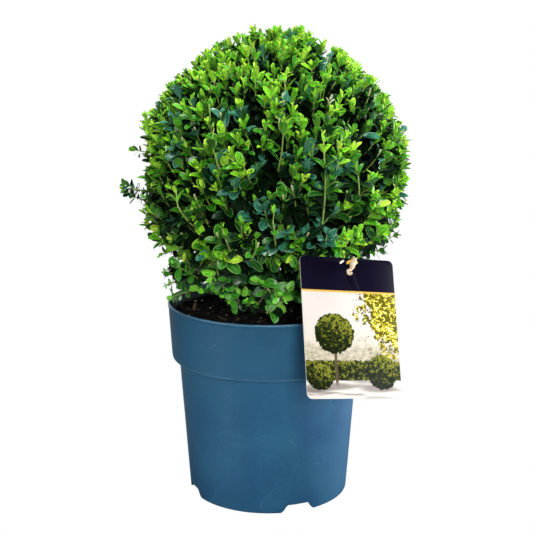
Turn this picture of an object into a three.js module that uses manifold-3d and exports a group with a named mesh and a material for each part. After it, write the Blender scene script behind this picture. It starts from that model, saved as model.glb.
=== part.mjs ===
// A clipped box ball in a plastic nursery pot, with the plant label that hangs from it.
// Millimetres, +Z up. The origin is on the ground under the pot's axis, and -Y is the front.

import * as THREE from "three";
import { mergeVertices } from "three/addons/utils/BufferGeometryUtils.js";
import Module from "manifold-3d";

const wasm = await Module();
wasm.setup();

// ---------- driving dimensions ----------

const GAP = 0.3; // clear air between pieces that touch
const POT_SIDES = 56;
const SOIL_SIDES = 36;

const POT = {
  height: 183,
  rimRadius: 95,
  collarFootZ: 130, // the deep collar runs from here up to the rim
  collarFootRadius: 91.4,
  bodyTopRadius: 84.8,
  footRadius: 75.6,
  wall: 1.8,
  footWall: 2.4,
  floorUnderside: 9, // the floor stands clear of the ground on the foot ring
  floorThickness: 2,
  lipHeight: 3,
  lipProud: 0.5,
  edgeRadius: 2.5,
};
const FOOT_NOTCH = { count: 4, height: 7.5, width: 29, slope: 4, corner: 2, firstAzimuth: 21 };
const DRAIN = { count: 8, radius: 4.5, ringRadius: 56 };

const SOIL = { topZ: 171, ringStep: 18, relief: 1.6, flatRadius: 20 };

const STEM = {
  height: 24, // from the soil to the fork
  footRadius: 12.5,
  waistRadius: 8.2,
  topRadius: 6.6,
  flareLobes: 5, // roots that swell the foot
  flareDepth: 1.4,
  lean: 3, // degrees, to the right
  sides: 18,
  steps: 6,
};

const BALL = {
  centre: new THREE.Vector3(5, 17, 312),
  radius: 124.5,
  upperReach: 123.5,
  upperFullness: 1.92, // 2 is an ellipsoid, and a larger exponent is squarer
  lowerReach: 100,
  lowerFullness: 3.5,
  hollowRadius: 40, // bare hollow under the ball, where the boughs go in
  hollowDepth: 22,
  relief: 2.4, // the shears leave the surface this uneven
  detail: 9,
};

// The unclipped sprays between the ball and the pot. Azimuth is from the front towards the right.
const SPRAYS = [
  { name: "lower_spray_front", azimuth: -2, distance: 52, foot: 178, top: 234, width: 33, depth: 25 },
  { name: "lower_spray_front_right", azimuth: 44, distance: 64, foot: 189, top: 238, width: 29, depth: 25 },
  { name: "lower_spray_right", azimuth: 92, distance: 76, foot: 190, top: 242, width: 34, depth: 28 },
  { name: "lower_spray_back_right", azimuth: 138, distance: 70, foot: 188, top: 240, width: 31, depth: 27 },
  { name: "lower_spray_back", azimuth: 184, distance: 70, foot: 187, top: 240, width: 33, depth: 27 },
  { name: "lower_spray_back_left", azimuth: 230, distance: 70, foot: 189, top: 240, width: 31, depth: 26 },
  { name: "lower_spray_left", azimuth: 276, distance: 74, foot: 185.5, top: 240, width: 34, depth: 29 },
  { name: "lower_spray_front_left", azimuth: 318, distance: 62, foot: 199, top: 238, width: 28, depth: 25 },
];
const SPRAY = { detail: 2, relief: 3 };

// A few shoots on the left have grown on past the clipped surface.
const STRAY = { name: "stray_shoots", azimuth: 272, height: 305, reach: 15.5, halfWidth: 11, halfHeight: 24 };

const BOUGH = { sides: 6, steps: 5, arch: 6 };
const UPPER_BOUGHS = {
  count: 4,
  firstAzimuth: 20,
  footRing: 5.4, // the boughs stand side by side on the fork, this far from its middle
  spread: 26,
  reachZ: 262,
  radius: 3.5,
  tipRadius: 2.4,
};
const LOWER_BOUGHS = { footHeight: 12, footRing: 3, radius: 2.8, tipRadius: 1.6 };

const LABEL = {
  centre: new THREE.Vector3(70.5, -101.6, 183.1),
  turn: 30.3, // degrees: about the vertical, then leaning back, then in its own plane
  lean: -21.8,
  roll: 9.1,
  width: 94.8,
  height: 121.3,
  thickness: 0.8,
  corner: 5,
  slotDrop: 7.5, // slots' centre line below the top edge
};
const LABEL_SLOTS = [
  { x: -4.6, width: 5.4, height: 2.2, tilt: 30 }, // spare hole
  { x: 5.6, width: 5, height: 5, tilt: 0 }, // the tie goes through here
];
const TIE = { radius: 1.9, steps: 20, fall: 15.5, curl: 3, back: -0.2, rise: 3.4 };
const TOGGLE = { length: 12, radius: 1, x: 5.6, tilt: 12 };

// ---------- materials ----------

function finish(color, roughness, metalness = 0) {
  return new THREE.MeshStandardMaterial({ color, roughness, metalness });
}

const potPlastic = finish(0x2f5f88, 0.42);
const soilPeat = finish(0x1c1613, 0.95);
const bark = finish(0x8c7a58, 0.85);
const clippedLeaf = finish(0x3f8a26, 0.5);
const lowerLeaf = finish(0x2f6d2a, 0.5);
const labelCard = finish(0x120f28, 0.35);
const tieStraw = finish(0xd9b877, 0.7);

// ---------- helpers ----------

// A closed geometry as a manifold-3d solid.
function solidOf(geometry) {
  const bare = geometry.clone();
  bare.deleteAttribute("normal");
  bare.deleteAttribute("uv");
  const merged = mergeVertices(bare, 1e-3);
  const mesh = new wasm.Mesh({
    numProp: 3,
    vertProperties: merged.attributes.position.array,
    triVerts: new Uint32Array(merged.index.array),
  });
  return new wasm.Manifold(mesh);
}

// A manifold-3d solid as a geometry. Slivers that a cut sheared off are dropped.
function geometryOf(solid) {
  const whole = solid.decompose().sort((a, b) => b.volume() - a.volume())[0];
  const mesh = whole.getMesh();
  const places = new Float32Array(mesh.numVert * 3);
  for (let i = 0; i < mesh.numVert; i++) {
    const from = i * mesh.numProp;
    places.set(mesh.vertProperties.subarray(from, from + 3), i * 3);
  }
  const geometry = new THREE.BufferGeometry();
  geometry.setAttribute("position", new THREE.BufferAttribute(places, 3));
  geometry.setIndex(new THREE.BufferAttribute(new Uint32Array(mesh.triVerts), 1));
  geometry.computeVertexNormals();
  return geometry;
}

function cutAway(solid, cutters) {
  return cutters.reduce((left, cutter) => left.subtract(cutter), solid);
}

// Moves every vertex of a geometry by a function of its place.
function reshape(geometry, move) {
  const places = geometry.attributes.position;
  const p = new THREE.Vector3();
  for (let i = 0; i < places.count; i++) {
    p.fromBufferAttribute(places, i);
    move(p);
    places.setXYZ(i, p.x, p.y, p.z);
  }
  geometry.computeVertexNormals();
  return geometry;
}

// A solid turned about +Z from a profile of [radius, z] points.
function turned(profile, sides) {
  const points = profile.map(([radius, z]) => new THREE.Vector2(radius, z));
  return new THREE.LatheGeometry(points, sides).rotateX(Math.PI / 2);
}

// The point at an azimuth measured from the front (-Y) towards the right (+X).
function around(azimuth, distance, z) {
  const angle = THREE.MathUtils.degToRad(azimuth);
  return new THREE.Vector3(distance * Math.sin(angle), -distance * Math.cos(angle), z);
}

// Smooth unevenness between -1 and 1, by direction.
function uneven(direction, grain, seed) {
  const { x, y, z } = direction;
  const broad = Math.sin(grain * x + seed) * Math.sin(grain * y + 2.1 * seed) * Math.sin(grain * z + 3.7 * seed);
  const fine = Math.sin(2.3 * grain * x + seed * 5) * Math.sin(2.1 * grain * y - seed) * Math.sin(2.2 * grain * z + 1);
  return 0.65 * broad + 0.35 * fine;
}

// ---------- pot ----------

function bodyRadiusAt(z) {
  return THREE.MathUtils.mapLinear(z, 0, POT.collarFootZ, POT.footRadius, POT.bodyTopRadius);
}

function collarRadiusAt(z) {
  return THREE.MathUtils.mapLinear(z, POT.collarFootZ, POT.height, POT.collarFootRadius, POT.rimRadius - POT.lipProud);
}

// The inside of the pot from the floor up to the rim, as [radius, z] points.
function potInside() {
  const floorTop = POT.floorUnderside + POT.floorThickness;
  const ledge = POT.collarFootZ + POT.wall;
  return [
    [bodyRadiusAt(floorTop) - POT.wall, floorTop],
    [bodyRadiusAt(ledge) - POT.wall, ledge],
    [collarRadiusAt(ledge) - POT.wall - POT.edgeRadius, ledge],
    [collarRadiusAt(ledge) - POT.wall, ledge + POT.edgeRadius],
    [collarRadiusAt(POT.height) - POT.wall, POT.height],
  ];
}

function potOutside() {
  const { height, rimRadius, lipHeight, collarFootZ, edgeRadius, footRadius, footWall, floorUnderside } = POT;
  const lipFoot = height - lipHeight;
  return [
    [rimRadius - 0.5, height],
    [rimRadius, height - 0.8],
    [rimRadius, lipFoot + 0.5],
    [collarRadiusAt(lipFoot), lipFoot],
    [collarRadiusAt(collarFootZ + edgeRadius), collarFootZ + edgeRadius],
    [collarRadiusAt(collarFootZ) - edgeRadius * 0.3, collarFootZ + edgeRadius * 0.3],
    [collarRadiusAt(collarFootZ) - edgeRadius, collarFootZ],
    [bodyRadiusAt(collarFootZ), collarFootZ],
    [footRadius, 0],
    [footRadius - footWall, 0],
    [footRadius - footWall, floorUnderside],
  ];
}

// One gap in the foot ring: a bar with sloping ends, lying radially through the ring.
function footNotch(azimuth) {
  const { width, height, slope, corner } = FOOT_NOTCH;
  const depth = 6 * POT.footWall;
  const outline = new THREE.Shape([
    new THREE.Vector2(-width / 2 - slope / 2, -1),
    new THREE.Vector2(width / 2 + slope / 2, -1),
    new THREE.Vector2(width / 2, height - corner),
    new THREE.Vector2(width / 2 - corner, height),
    new THREE.Vector2(-width / 2 + corner, height),
    new THREE.Vector2(-width / 2, height - corner),
  ]);
  const bar = new THREE.ExtrudeGeometry(outline, { depth, bevelEnabled: false });
  bar.rotateX(Math.PI / 2).translate(0, depth / 2 - POT.footRadius, 0);
  return bar.rotateZ(THREE.MathUtils.degToRad(azimuth));
}

function drainHole(azimuth) {
  const depth = 4 * POT.floorThickness;
  const hole = new THREE.CylinderGeometry(DRAIN.radius, DRAIN.radius, depth, 12).rotateX(Math.PI / 2);
  const place = around(azimuth, DRAIN.ringRadius, POT.floorUnderside);
  return hole.translate(place.x, place.y, place.z);
}

function makePot() {
  const floorTop = POT.floorUnderside + POT.floorThickness;
  const profile = [[0, floorTop], ...potInside(), ...potOutside(), [0, POT.floorUnderside]];
  const cutters = [];
  for (let i = 0; i < FOOT_NOTCH.count; i++) {
    cutters.push(solidOf(footNotch(FOOT_NOTCH.firstAzimuth + (i * 360) / FOOT_NOTCH.count)));
  }
  for (let i = 0; i < DRAIN.count; i++) {
    cutters.push(solidOf(drainHole((i * 360) / DRAIN.count)));
  }
  return cutAway(solidOf(turned(profile.reverse(), POT_SIDES)), cutters);
}

// ---------- soil ----------

function soilHeightAt(x, y) {
  const distance = Math.hypot(x, y);
  const away = THREE.MathUtils.smoothstep(distance, SOIL.flatRadius, SOIL.flatRadius + SOIL.ringStep);
  return SOIL.topZ + away * SOIL.relief * uneven(new THREE.Vector3(x, y, 20).divideScalar(30), 2.2, 1.3);
}

function makeSoil() {
  const inset = GAP + 0.1;
  const sides = potInside()
    .filter(([, z]) => z < SOIL.topZ - 2)
    .map(([radius, z]) => [radius - inset, z + inset]);
  const edge = collarRadiusAt(SOIL.topZ) - POT.wall - inset;
  const profile = [[0, sides[0][1]], ...sides, [edge, SOIL.topZ - 1]];
  for (let radius = edge - 1.5; radius > SOIL.ringStep / 2; radius -= SOIL.ringStep) {
    profile.push([radius, SOIL.topZ]);
  }
  profile.push([0, SOIL.topZ]);
  const fill = reshape(turned(profile, SOIL_SIDES), (p) => {
    if (p.z > SOIL.topZ - 0.5) p.z = soilHeightAt(p.x, p.y);
  });
  return solidOf(fill);
}

// ---------- foliage ----------

// The ball's surface in a direction from its centre, pushed outwards by swell.
function ballPoint(direction, swell = 0) {
  const upper = direction.z > 0;
  const fullness = upper ? BALL.upperFullness : BALL.lowerFullness;
  const across = Math.hypot(direction.x, direction.y) / BALL.radius;
  const along = Math.abs(direction.z) / (upper ? BALL.upperReach : BALL.lowerReach);
  const smooth = Math.pow(across ** fullness + along ** fullness, -1 / fullness);
  const reach = smooth + BALL.relief * uneven(direction, 7, 0.9);
  const point = direction.clone().multiplyScalar(reach + swell);
  const hollow = 1 - THREE.MathUtils.smoothstep(Math.hypot(point.x, point.y), 0, BALL.hollowRadius);
  if (direction.z < 0) point.z += BALL.hollowDepth * hollow;
  return point.add(BALL.centre);
}

function ballSolid(swell = 0) {
  const sphere = new THREE.IcosahedronGeometry(1, BALL.detail);
  return solidOf(reshape(sphere, (p) => p.copy(ballPoint(p.clone().normalize(), swell))));
}

// An uneven lump of foliage: an egg of the given half sizes, set at a place and turned to an azimuth.
function lump(place, azimuth, halfWidth, halfDepth, halfHeight, seed, swell = 0) {
  const sphere = new THREE.IcosahedronGeometry(1, SPRAY.detail);
  reshape(sphere, (p) => {
    const direction = p.clone().normalize();
    const bump = SPRAY.relief * uneven(direction, 4, seed) + swell;
    p.set(direction.x * (halfWidth + bump), direction.y * (halfDepth + bump), direction.z * (halfHeight + bump));
  });
  sphere.rotateZ(THREE.MathUtils.degToRad(azimuth));
  return solidOf(sphere.translate(place.x, place.y, place.z));
}

function sprayMiddle(spray) {
  return around(spray.azimuth, spray.distance, (spray.foot + spray.top) / 2);
}

function sprayLump(spray, seed, swell) {
  const halfHeight = (spray.top - spray.foot) / 2;
  return lump(sprayMiddle(spray), spray.azimuth, spray.width, spray.depth, halfHeight, seed, swell);
}

function strayLump() {
  const place = around(STRAY.azimuth, BALL.radius + STRAY.reach - STRAY.halfWidth, STRAY.height);
  place.x += BALL.centre.x;
  place.y += BALL.centre.y;
  return lump(place, STRAY.azimuth, STRAY.halfWidth, STRAY.halfWidth, STRAY.halfHeight, 3.1);
}

// ---------- stem and boughs ----------

// A rod of radius 1 that stands on the origin and is 1 high, ready to be reshaped.
function uprightRod(sides, steps) {
  return new THREE.CylinderGeometry(1, 1, 1, sides, steps).rotateX(Math.PI / 2).translate(0, 0, 0.5);
}

function stemAxisAt(height) {
  const leaning = Math.tan(THREE.MathUtils.degToRad(STEM.lean)) * height;
  return new THREE.Vector3(leaning, 0, SOIL.topZ + GAP + height);
}

function stemRadiusAt(height) {
  const up = height / STEM.height;
  const flare = Math.exp(-up * 5) * (STEM.footRadius - STEM.waistRadius);
  return THREE.MathUtils.lerp(STEM.waistRadius, STEM.topRadius, up) + flare;
}

function stemSolid(swell = 0) {
  const column = uprightRod(STEM.sides, STEM.steps);
  reshape(column, (p) => {
    const height = p.z * (STEM.height + swell);
    const turn = Math.atan2(p.y, p.x);
    const roots = STEM.flareDepth * Math.exp(-height / 5) * Math.cos(STEM.flareLobes * turn);
    const radius = Math.hypot(p.x, p.y) * (stemRadiusAt(Math.min(height, STEM.height)) + roots + swell);
    const axis = stemAxisAt(height);
    p.set(axis.x + radius * Math.cos(turn), radius * Math.sin(turn), axis.z);
  });
  return solidOf(column);
}

// One tapering limb along a curve.
function limb(curve, footRadius, tipRadius) {
  const rod = uprightRod(BOUGH.sides, BOUGH.steps);
  reshape(rod, (p) => {
    const along = curve.getPointAt(p.z);
    const ahead = curve.getTangentAt(p.z);
    const side = new THREE.Vector3(0, 0, 1).cross(ahead).normalize();
    const over = ahead.clone().cross(side);
    const radius = THREE.MathUtils.lerp(footRadius, tipRadius, p.z);
    p.copy(along.addScaledVector(side, p.x * radius).addScaledVector(over, p.y * radius));
  });
  return solidOf(rod);
}

// A bough that forks off the stem's top and climbs into the ball.
function upperBough(index, swell = 0) {
  const { count, footRing, radius, tipRadius, spread, firstAzimuth, reachZ } = UPPER_BOUGHS;
  const azimuth = firstAzimuth + (index * 360) / count;
  const foot = stemAxisAt(STEM.height - 4).add(around(azimuth, footRing, 0));
  const tip = around(azimuth, spread, reachZ);
  tip.x += BALL.centre.x;
  const knee = foot.clone().lerp(tip, 0.4).add(around(azimuth, BOUGH.arch, 0));
  return limb(new THREE.QuadraticBezierCurve3(foot, knee, tip), radius + swell, tipRadius + swell);
}

// A bough that leaves the stem's side and arches over into one of the lower sprays.
function lowerBough(spray, swell = 0) {
  const { footHeight, footRing, radius, tipRadius } = LOWER_BOUGHS;
  const foot = stemAxisAt(footHeight).add(around(spray.azimuth, footRing, 0));
  const tip = sprayMiddle(spray);
  const knee = foot.clone().lerp(tip, 0.5);
  knee.z += BOUGH.arch;
  return limb(new THREE.QuadraticBezierCurve3(foot, knee, tip), radius + swell, tipRadius + swell);
}

// ---------- label and its tie ----------

function roundedRectangle(width, height, corner) {
  const x = width / 2;
  const y = height / 2;
  const outline = new THREE.Shape();
  outline.moveTo(-x + corner, -y);
  outline.lineTo(x - corner, -y);
  outline.absarc(x - corner, -y + corner, corner, -Math.PI / 2, 0);
  outline.lineTo(x, y - corner);
  outline.absarc(x - corner, y - corner, corner, 0, Math.PI / 2);
  outline.lineTo(-x + corner, y);
  outline.absarc(-x + corner, y - corner, corner, Math.PI / 2, Math.PI);
  outline.lineTo(-x, -y + corner);
  outline.absarc(-x + corner, -y + corner, corner, Math.PI, 1.5 * Math.PI);
  return outline;
}

// The label lies in local XZ, with its printed face towards local -Y.
function makeLabel() {
  const outline = roundedRectangle(LABEL.width, LABEL.height, LABEL.corner);
  for (const slot of LABEL_SLOTS) {
    const hole = new THREE.Path();
    const y = LABEL.height / 2 - LABEL.slotDrop;
    const tilt = THREE.MathUtils.degToRad(slot.tilt);
    hole.absellipse(slot.x, y, slot.width / 2, slot.height / 2, 0, 2 * Math.PI, true, tilt);
    outline.holes.push(hole);
  }
  const settings = { depth: LABEL.thickness, bevelEnabled: false, curveSegments: 4 };
  return new THREE.ExtrudeGeometry(outline, settings).rotateX(Math.PI / 2);
}

// The tie comes out of the foliage over the label's top edge, down its face, and curls up at the end.
function makeTie() {
  const front = -LABEL.thickness - 2 * TOGGLE.radius - 2 * GAP - TIE.radius;
  const top = LABEL.height / 2;
  const x = TOGGLE.x;
  const points = [
    new THREE.Vector3(x + 3, TIE.back, top + TIE.rise),
    new THREE.Vector3(x + 1.5, front * 0.4, top + TIE.rise),
    new THREE.Vector3(x + 0.5, front, top - 2),
    new THREE.Vector3(x - 1, front, top - TIE.fall * 0.6),
    new THREE.Vector3(x - 2.5, front, top - TIE.fall),
    new THREE.Vector3(x - 1, front - 0.6, top - TIE.fall - TIE.curl),
    new THREE.Vector3(x + 1.5, front - 1.2, top - TIE.fall - TIE.curl),
  ];
  return rodAlong(new THREE.CatmullRomCurve3(points), TIE.radius, TIE.steps);
}

function makeToggle() {
  const tilt = THREE.MathUtils.degToRad(TOGGLE.tilt);
  const half = new THREE.Vector3(Math.cos(tilt), 0, Math.sin(tilt)).multiplyScalar(TOGGLE.length / 2);
  const y = -LABEL.thickness - GAP - TOGGLE.radius;
  const middle = new THREE.Vector3(TOGGLE.x, y, LABEL.height / 2 - LABEL.slotDrop);
  const line = new THREE.LineCurve3(middle.clone().sub(half), middle.clone().add(half));
  return rodAlong(line, TOGGLE.radius, 2);
}

function rodAlong(path, radius, steps) {
  const circle = new THREE.Shape().absarc(0, 0, radius, 0, 2 * Math.PI);
  return new THREE.ExtrudeGeometry(circle, { steps, extrudePath: path, curveSegments: 4 });
}

// ---------- assembly ----------

const plant = new THREE.Group();

function add(name, geometry, material, group = plant) {
  const mesh = new THREE.Mesh(geometry, material);
  mesh.name = name;
  group.add(mesh);
  return mesh;
}

add("pot", geometryOf(makePot()), potPlastic);
add("soil", geometryOf(makeSoil()), soilPeat);
add("stem", geometryOf(stemSolid()), bark);
add("foliage_ball", geometryOf(ballSolid()), clippedLeaf);

const clear = 2 * GAP; // radial swelling that leaves at least GAP on slanting faces
const ballCutter = ballSolid(clear);
const massCutters = [ballCutter];
SPRAYS.forEach((spray, index) => {
  const seed = 1.7 + index;
  add(spray.name, geometryOf(cutAway(sprayLump(spray, seed), massCutters)), lowerLeaf);
  massCutters.push(sprayLump(spray, seed, clear));
});

const woodCutters = [stemSolid(clear)];
for (let i = 0; i < UPPER_BOUGHS.count; i++) {
  const bough = cutAway(upperBough(i), [...woodCutters, ...massCutters]);
  add("upper_bough_" + (i + 1), geometryOf(bough), bark);
  woodCutters.push(upperBough(i, clear));
}
SPRAYS.forEach((spray) => {
  const bough = cutAway(lowerBough(spray), [...woodCutters, ...massCutters]);
  add(spray.name.replace("lower_spray", "lower_bough"), geometryOf(bough), bark);
  woodCutters.push(lowerBough(spray, clear));
});
add(STRAY.name, geometryOf(cutAway(strayLump(), [ballCutter])), clippedLeaf);

const label = new THREE.Group();
label.position.copy(LABEL.centre);
label.rotation.set(
  THREE.MathUtils.degToRad(LABEL.lean),
  THREE.MathUtils.degToRad(LABEL.roll),
  THREE.MathUtils.degToRad(LABEL.turn),
  "ZXY",
);
add("label_card", makeLabel(), labelCard, label);
add("label_tie", makeTie(), tieStraw, label);
add("label_toggle", makeToggle(), tieStraw, label);
plant.add(label);

export default plant;
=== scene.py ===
# A clipped box ball in its blue nursery pot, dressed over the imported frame. Metres, +Z up, -Y is the front.
import math

import bpy
import numpy as np
from mathutils import Matrix, Vector, kdtree, noise
from mathutils.bvhtree import BVHTree


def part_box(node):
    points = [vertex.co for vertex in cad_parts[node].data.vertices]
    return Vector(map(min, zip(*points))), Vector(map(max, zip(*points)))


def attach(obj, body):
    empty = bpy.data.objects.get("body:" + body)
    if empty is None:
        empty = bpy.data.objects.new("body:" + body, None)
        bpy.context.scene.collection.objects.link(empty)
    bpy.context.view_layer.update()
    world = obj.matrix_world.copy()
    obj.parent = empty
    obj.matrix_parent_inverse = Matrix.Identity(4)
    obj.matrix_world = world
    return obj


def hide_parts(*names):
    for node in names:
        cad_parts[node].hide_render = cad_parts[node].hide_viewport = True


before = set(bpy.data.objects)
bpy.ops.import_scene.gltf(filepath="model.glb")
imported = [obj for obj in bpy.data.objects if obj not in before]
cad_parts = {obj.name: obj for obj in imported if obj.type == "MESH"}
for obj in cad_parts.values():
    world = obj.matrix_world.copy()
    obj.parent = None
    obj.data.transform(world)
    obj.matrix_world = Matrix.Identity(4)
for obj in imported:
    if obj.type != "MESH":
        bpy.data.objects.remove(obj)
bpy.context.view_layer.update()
dice = np.random.default_rng(27)
print("frame loaded,", len(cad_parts), "nodes")

sprayNames = [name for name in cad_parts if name.startswith("lower_spray")]
lowerBoughNames = [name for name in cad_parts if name.startswith("lower_bough")]
upperBoughNames = [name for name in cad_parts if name.startswith("upper_bough")]


# camera, lights and floor

studio = {
    "cameraPlace": (-0.0018, -1.0, 0.428),
    "cameraPitch": 77.97,  # degrees up from looking straight down
    "lens": 73.4,
    "floorSize": 9.0,
    "backdrop": (1.0, 1.0, 1.0),
    "skyTint": (0.80, 0.90, 1.0),
    "skyStrength": 0.012,
    "floorGrey": 0.17,
    # each light: place, height it points at, size, spread in degrees, power and colour
    "lights": {
        "keyLight": ((0.25, -1.50, 0.76), 0.22, 0.40, 180, 17.4, (1.0, 0.98, 0.94)),
        "leftLight": ((-1.50, -0.90, 0.12), 0.22, 0.80, 180, 6, (0.92, 0.97, 1.0)),
        "potLight": ((-1.20, -1.00, 0.10), 0.06, 0.20, 12, 0.068, (0.95, 0.98, 1.0)),
        "rightPotLight": ((1.25, -0.80, 0.10), 0.16, 0.20, 12, 0.09, (0.86, 0.90, 1.0)),
        "edgeLight": ((1.15, 0.29, 0.14), 0.22, 0.50, 180, 23, (0.88, 0.93, 1.0)),
        "topLight": ((0.12, -0.35, 1.90), 0.22, 0.40, 180, 27.5, (0.98, 0.99, 1.0)),
        "backLight": ((-0.70, 1.60, 0.30), 0.22, 0.80, 180, 13, (0.96, 0.98, 1.0)),
    },
}


def areaLight(name, place, aim, size, spread, power, colour):
    lamp = bpy.data.lights.new(name, "AREA")
    lamp.size = size
    lamp.spread = math.radians(spread)
    lamp.energy = power
    lamp.color = colour
    holder = bpy.data.objects.new(name, lamp)
    holder.location = place
    holder.rotation_euler = (Vector(aim) - Vector(place)).to_track_quat("-Z", "Y").to_euler()
    bpy.context.collection.objects.link(holder)


def splitView(tree, felt, seen):
    # what the camera sees differs from what the plant is lit by
    camera = put(tree, "ShaderNodeLightPath").outputs["Is Camera Ray"]
    return put(tree, "ShaderNodeMixShader", {0: camera, 1: felt, 2: seen}).outputs[0]


def makeStudio():
    camera = bpy.data.cameras.new("camera")
    camera.lens = studio["lens"]
    camera.sensor_width = 36
    stand = bpy.data.objects.new("camera", camera)
    stand.location = studio["cameraPlace"]
    stand.rotation_euler = (math.radians(studio["cameraPitch"]), 0, 0)
    bpy.context.collection.objects.link(stand)
    bpy.context.scene.camera = stand
    bpy.context.scene.view_settings.view_transform = "Standard"
    for name, (place, height, size, spread, power, colour) in studio["lights"].items():
        areaLight(name, place, (0, 0, height), size, spread, power, colour)

    world = bpy.data.worlds.new("studioWorld")
    world.use_nodes = True
    tree = world.node_tree
    tree.nodes.clear()
    backdrop, skyTint = (*studio["backdrop"], 1), (*studio["skyTint"], 1)
    seen = put(tree, "ShaderNodeBackground", {"Color": backdrop})
    sky = put(tree, "ShaderNodeBackground", {"Color": skyTint, "Strength": studio["skyStrength"]})
    put(tree, "ShaderNodeOutputWorld", {0: splitView(tree, sky.outputs[0], seen.outputs[0])})
    bpy.context.scene.world = world

    deselect()
    bpy.ops.mesh.primitive_plane_add(size=studio["floorSize"])
    floor = bpy.context.object
    floor.name = "floor"
    # the camera sees an evenly lit white floor, and the plant gets a soft bounce from a greyer one
    pale, tree, shader = newMaterial("paleFloor", (studio["floorGrey"],) * 3, 0.9)
    glow = put(tree, "ShaderNodeEmission", {"Color": backdrop}).outputs[0]
    surface = tree.nodes["Material Output"].inputs["Surface"]
    tree.links.new(splitView(tree, shader.outputs[0], glow), surface)
    floor.data.materials.append(pale)


# working in Blender

def lerp(a, b, t):
    return a + (b - a) * t


def deselect():
    if bpy.context.object and bpy.context.object.mode != "OBJECT":
        bpy.ops.object.mode_set(mode="OBJECT")
    bpy.ops.object.select_all(action="DESELECT")


def pick(*pieces):
    deselect()
    for piece in pieces:
        piece.select_set(True)
    bpy.context.view_layer.objects.active = pieces[0]
    return pieces[0]


def applyPlace(piece):
    pick(piece)
    bpy.ops.object.transform_apply(location=True, rotation=True, scale=True)


def applyModifier(piece, kind, **settings):
    pick(piece)
    step = piece.modifiers.new("step", kind)
    for setting, value in settings.items():
        setattr(step, setting, value)
    bpy.ops.object.modifier_apply(modifier=step.name)


def joined(pieces, name):
    pick(*pieces)
    if len(pieces) > 1:
        bpy.ops.object.join()
    whole = bpy.context.object
    whole.name = name
    whole.data.name = name
    return whole


def mendMesh(piece, merge=0.00001):
    # merges doubled vertices and turns the faces outwards
    pick(piece)
    bpy.ops.object.mode_set(mode="EDIT")
    bpy.ops.mesh.select_all(action="SELECT")
    bpy.ops.mesh.remove_doubles(threshold=merge)
    bpy.ops.mesh.normals_make_consistent(inside=False)
    bpy.ops.object.mode_set(mode="OBJECT")


def copyOfNode(node, name):
    piece = bpy.data.objects.new(name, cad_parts[node].data.copy())
    bpy.context.collection.objects.link(piece)
    piece.data.materials.clear()
    mendMesh(piece, 0.00002)
    return piece


def smooth(piece, angle=35):
    pick(piece)
    bpy.ops.object.shade_smooth_by_angle(angle=math.radians(angle))


def dress(piece, material, nodeNames):
    piece.data.materials.clear()
    piece.data.materials.append(material)
    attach(piece, "root")
    if nodeNames:
        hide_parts(*nodeNames)


# shader building

def put(tree, kind, sockets=None, **settings):
    node = tree.nodes.new(kind)
    for setting, value in settings.items():
        setattr(node, setting, value)
    for socket, value in (sockets or {}).items():
        if isinstance(value, bpy.types.NodeSocket):
            tree.links.new(value, node.inputs[socket])
        else:
            node.inputs[socket].default_value = value
    return node


def calc(tree, operation, a, b=0.0, c=0.0):
    return put(tree, "ShaderNodeMath", {0: a, 1: b, 2: c}, operation=operation).outputs[0]


def span(tree, value, low, high, toLow=0.0, toHigh=1.0):
    sockets = {"Value": value, "From Min": low, "From Max": high, "To Min": toLow, "To Max": toHigh}
    return put(tree, "ShaderNodeMapRange", sockets, interpolation_type="SMOOTHSTEP").outputs[0]


def blend(tree, factor, a, b, how="MIX"):
    return put(tree, "ShaderNodeMix", {0: factor, 6: a, 7: b}, data_type="RGBA", blend_type=how).outputs[2]


def grain(tree, where, scale, detail=2.0, stretch=(1, 1, 1)):
    shaped = put(tree, "ShaderNodeMapping", {"Vector": where, "Scale": stretch}).outputs[0]
    return put(tree, "ShaderNodeTexNoise", {"Vector": shaped, "Scale": scale, "Detail": detail}).outputs[0]


def newGroup(name, inputs, outputs):
    # an input is a vector when it is None, a number, or a colour; an output names its kind
    group = bpy.data.node_groups.new(name, "ShaderNodeTree")
    for label, value in inputs.items():
        kind = "Vector" if value is None else "Float" if isinstance(value, float) else "Color"
        socket = group.interface.new_socket(label, in_out="INPUT", socket_type="NodeSocket" + kind)
        if value is not None:
            socket.default_value = value if kind == "Float" else (*value, 1)
    for label, kind in outputs.items():
        group.interface.new_socket(label, in_out="OUTPUT", socket_type="NodeSocket" + kind)
    return group, group.nodes.new("NodeGroupInput"), group.nodes.new("NodeGroupOutput")


def newMaterial(name, colour, roughness, gloss=0.5):
    material = bpy.data.materials.new(name)
    material.use_nodes = True
    material.diffuse_color = (*colour, 1)
    tree = material.node_tree
    shader = tree.nodes["Principled BSDF"]
    shader.inputs["Base Color"].default_value = (*colour, 1)
    shader.inputs["Roughness"].default_value = roughness
    shader.inputs["Specular IOR Level"].default_value = gloss
    return material, tree, shader


def paint(tree, shader, colour, height, strength, distance):
    # joins up a colour and the relief that goes with it
    tree.links.new(colour, shader.inputs["Base Color"])
    relief = put(tree, "ShaderNodeBump", {"Height": height, "Strength": strength, "Distance": distance})
    tree.links.new(relief.outputs[0], shader.inputs["Normal"])


def objectPlace(tree):
    return tree.nodes.new("ShaderNodeTexCoord").outputs["Object"]


def mapPlace(tree, name="OFBake"):
    return put(tree, "ShaderNodeUVMap", uv_map=name).outputs[0]


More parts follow.
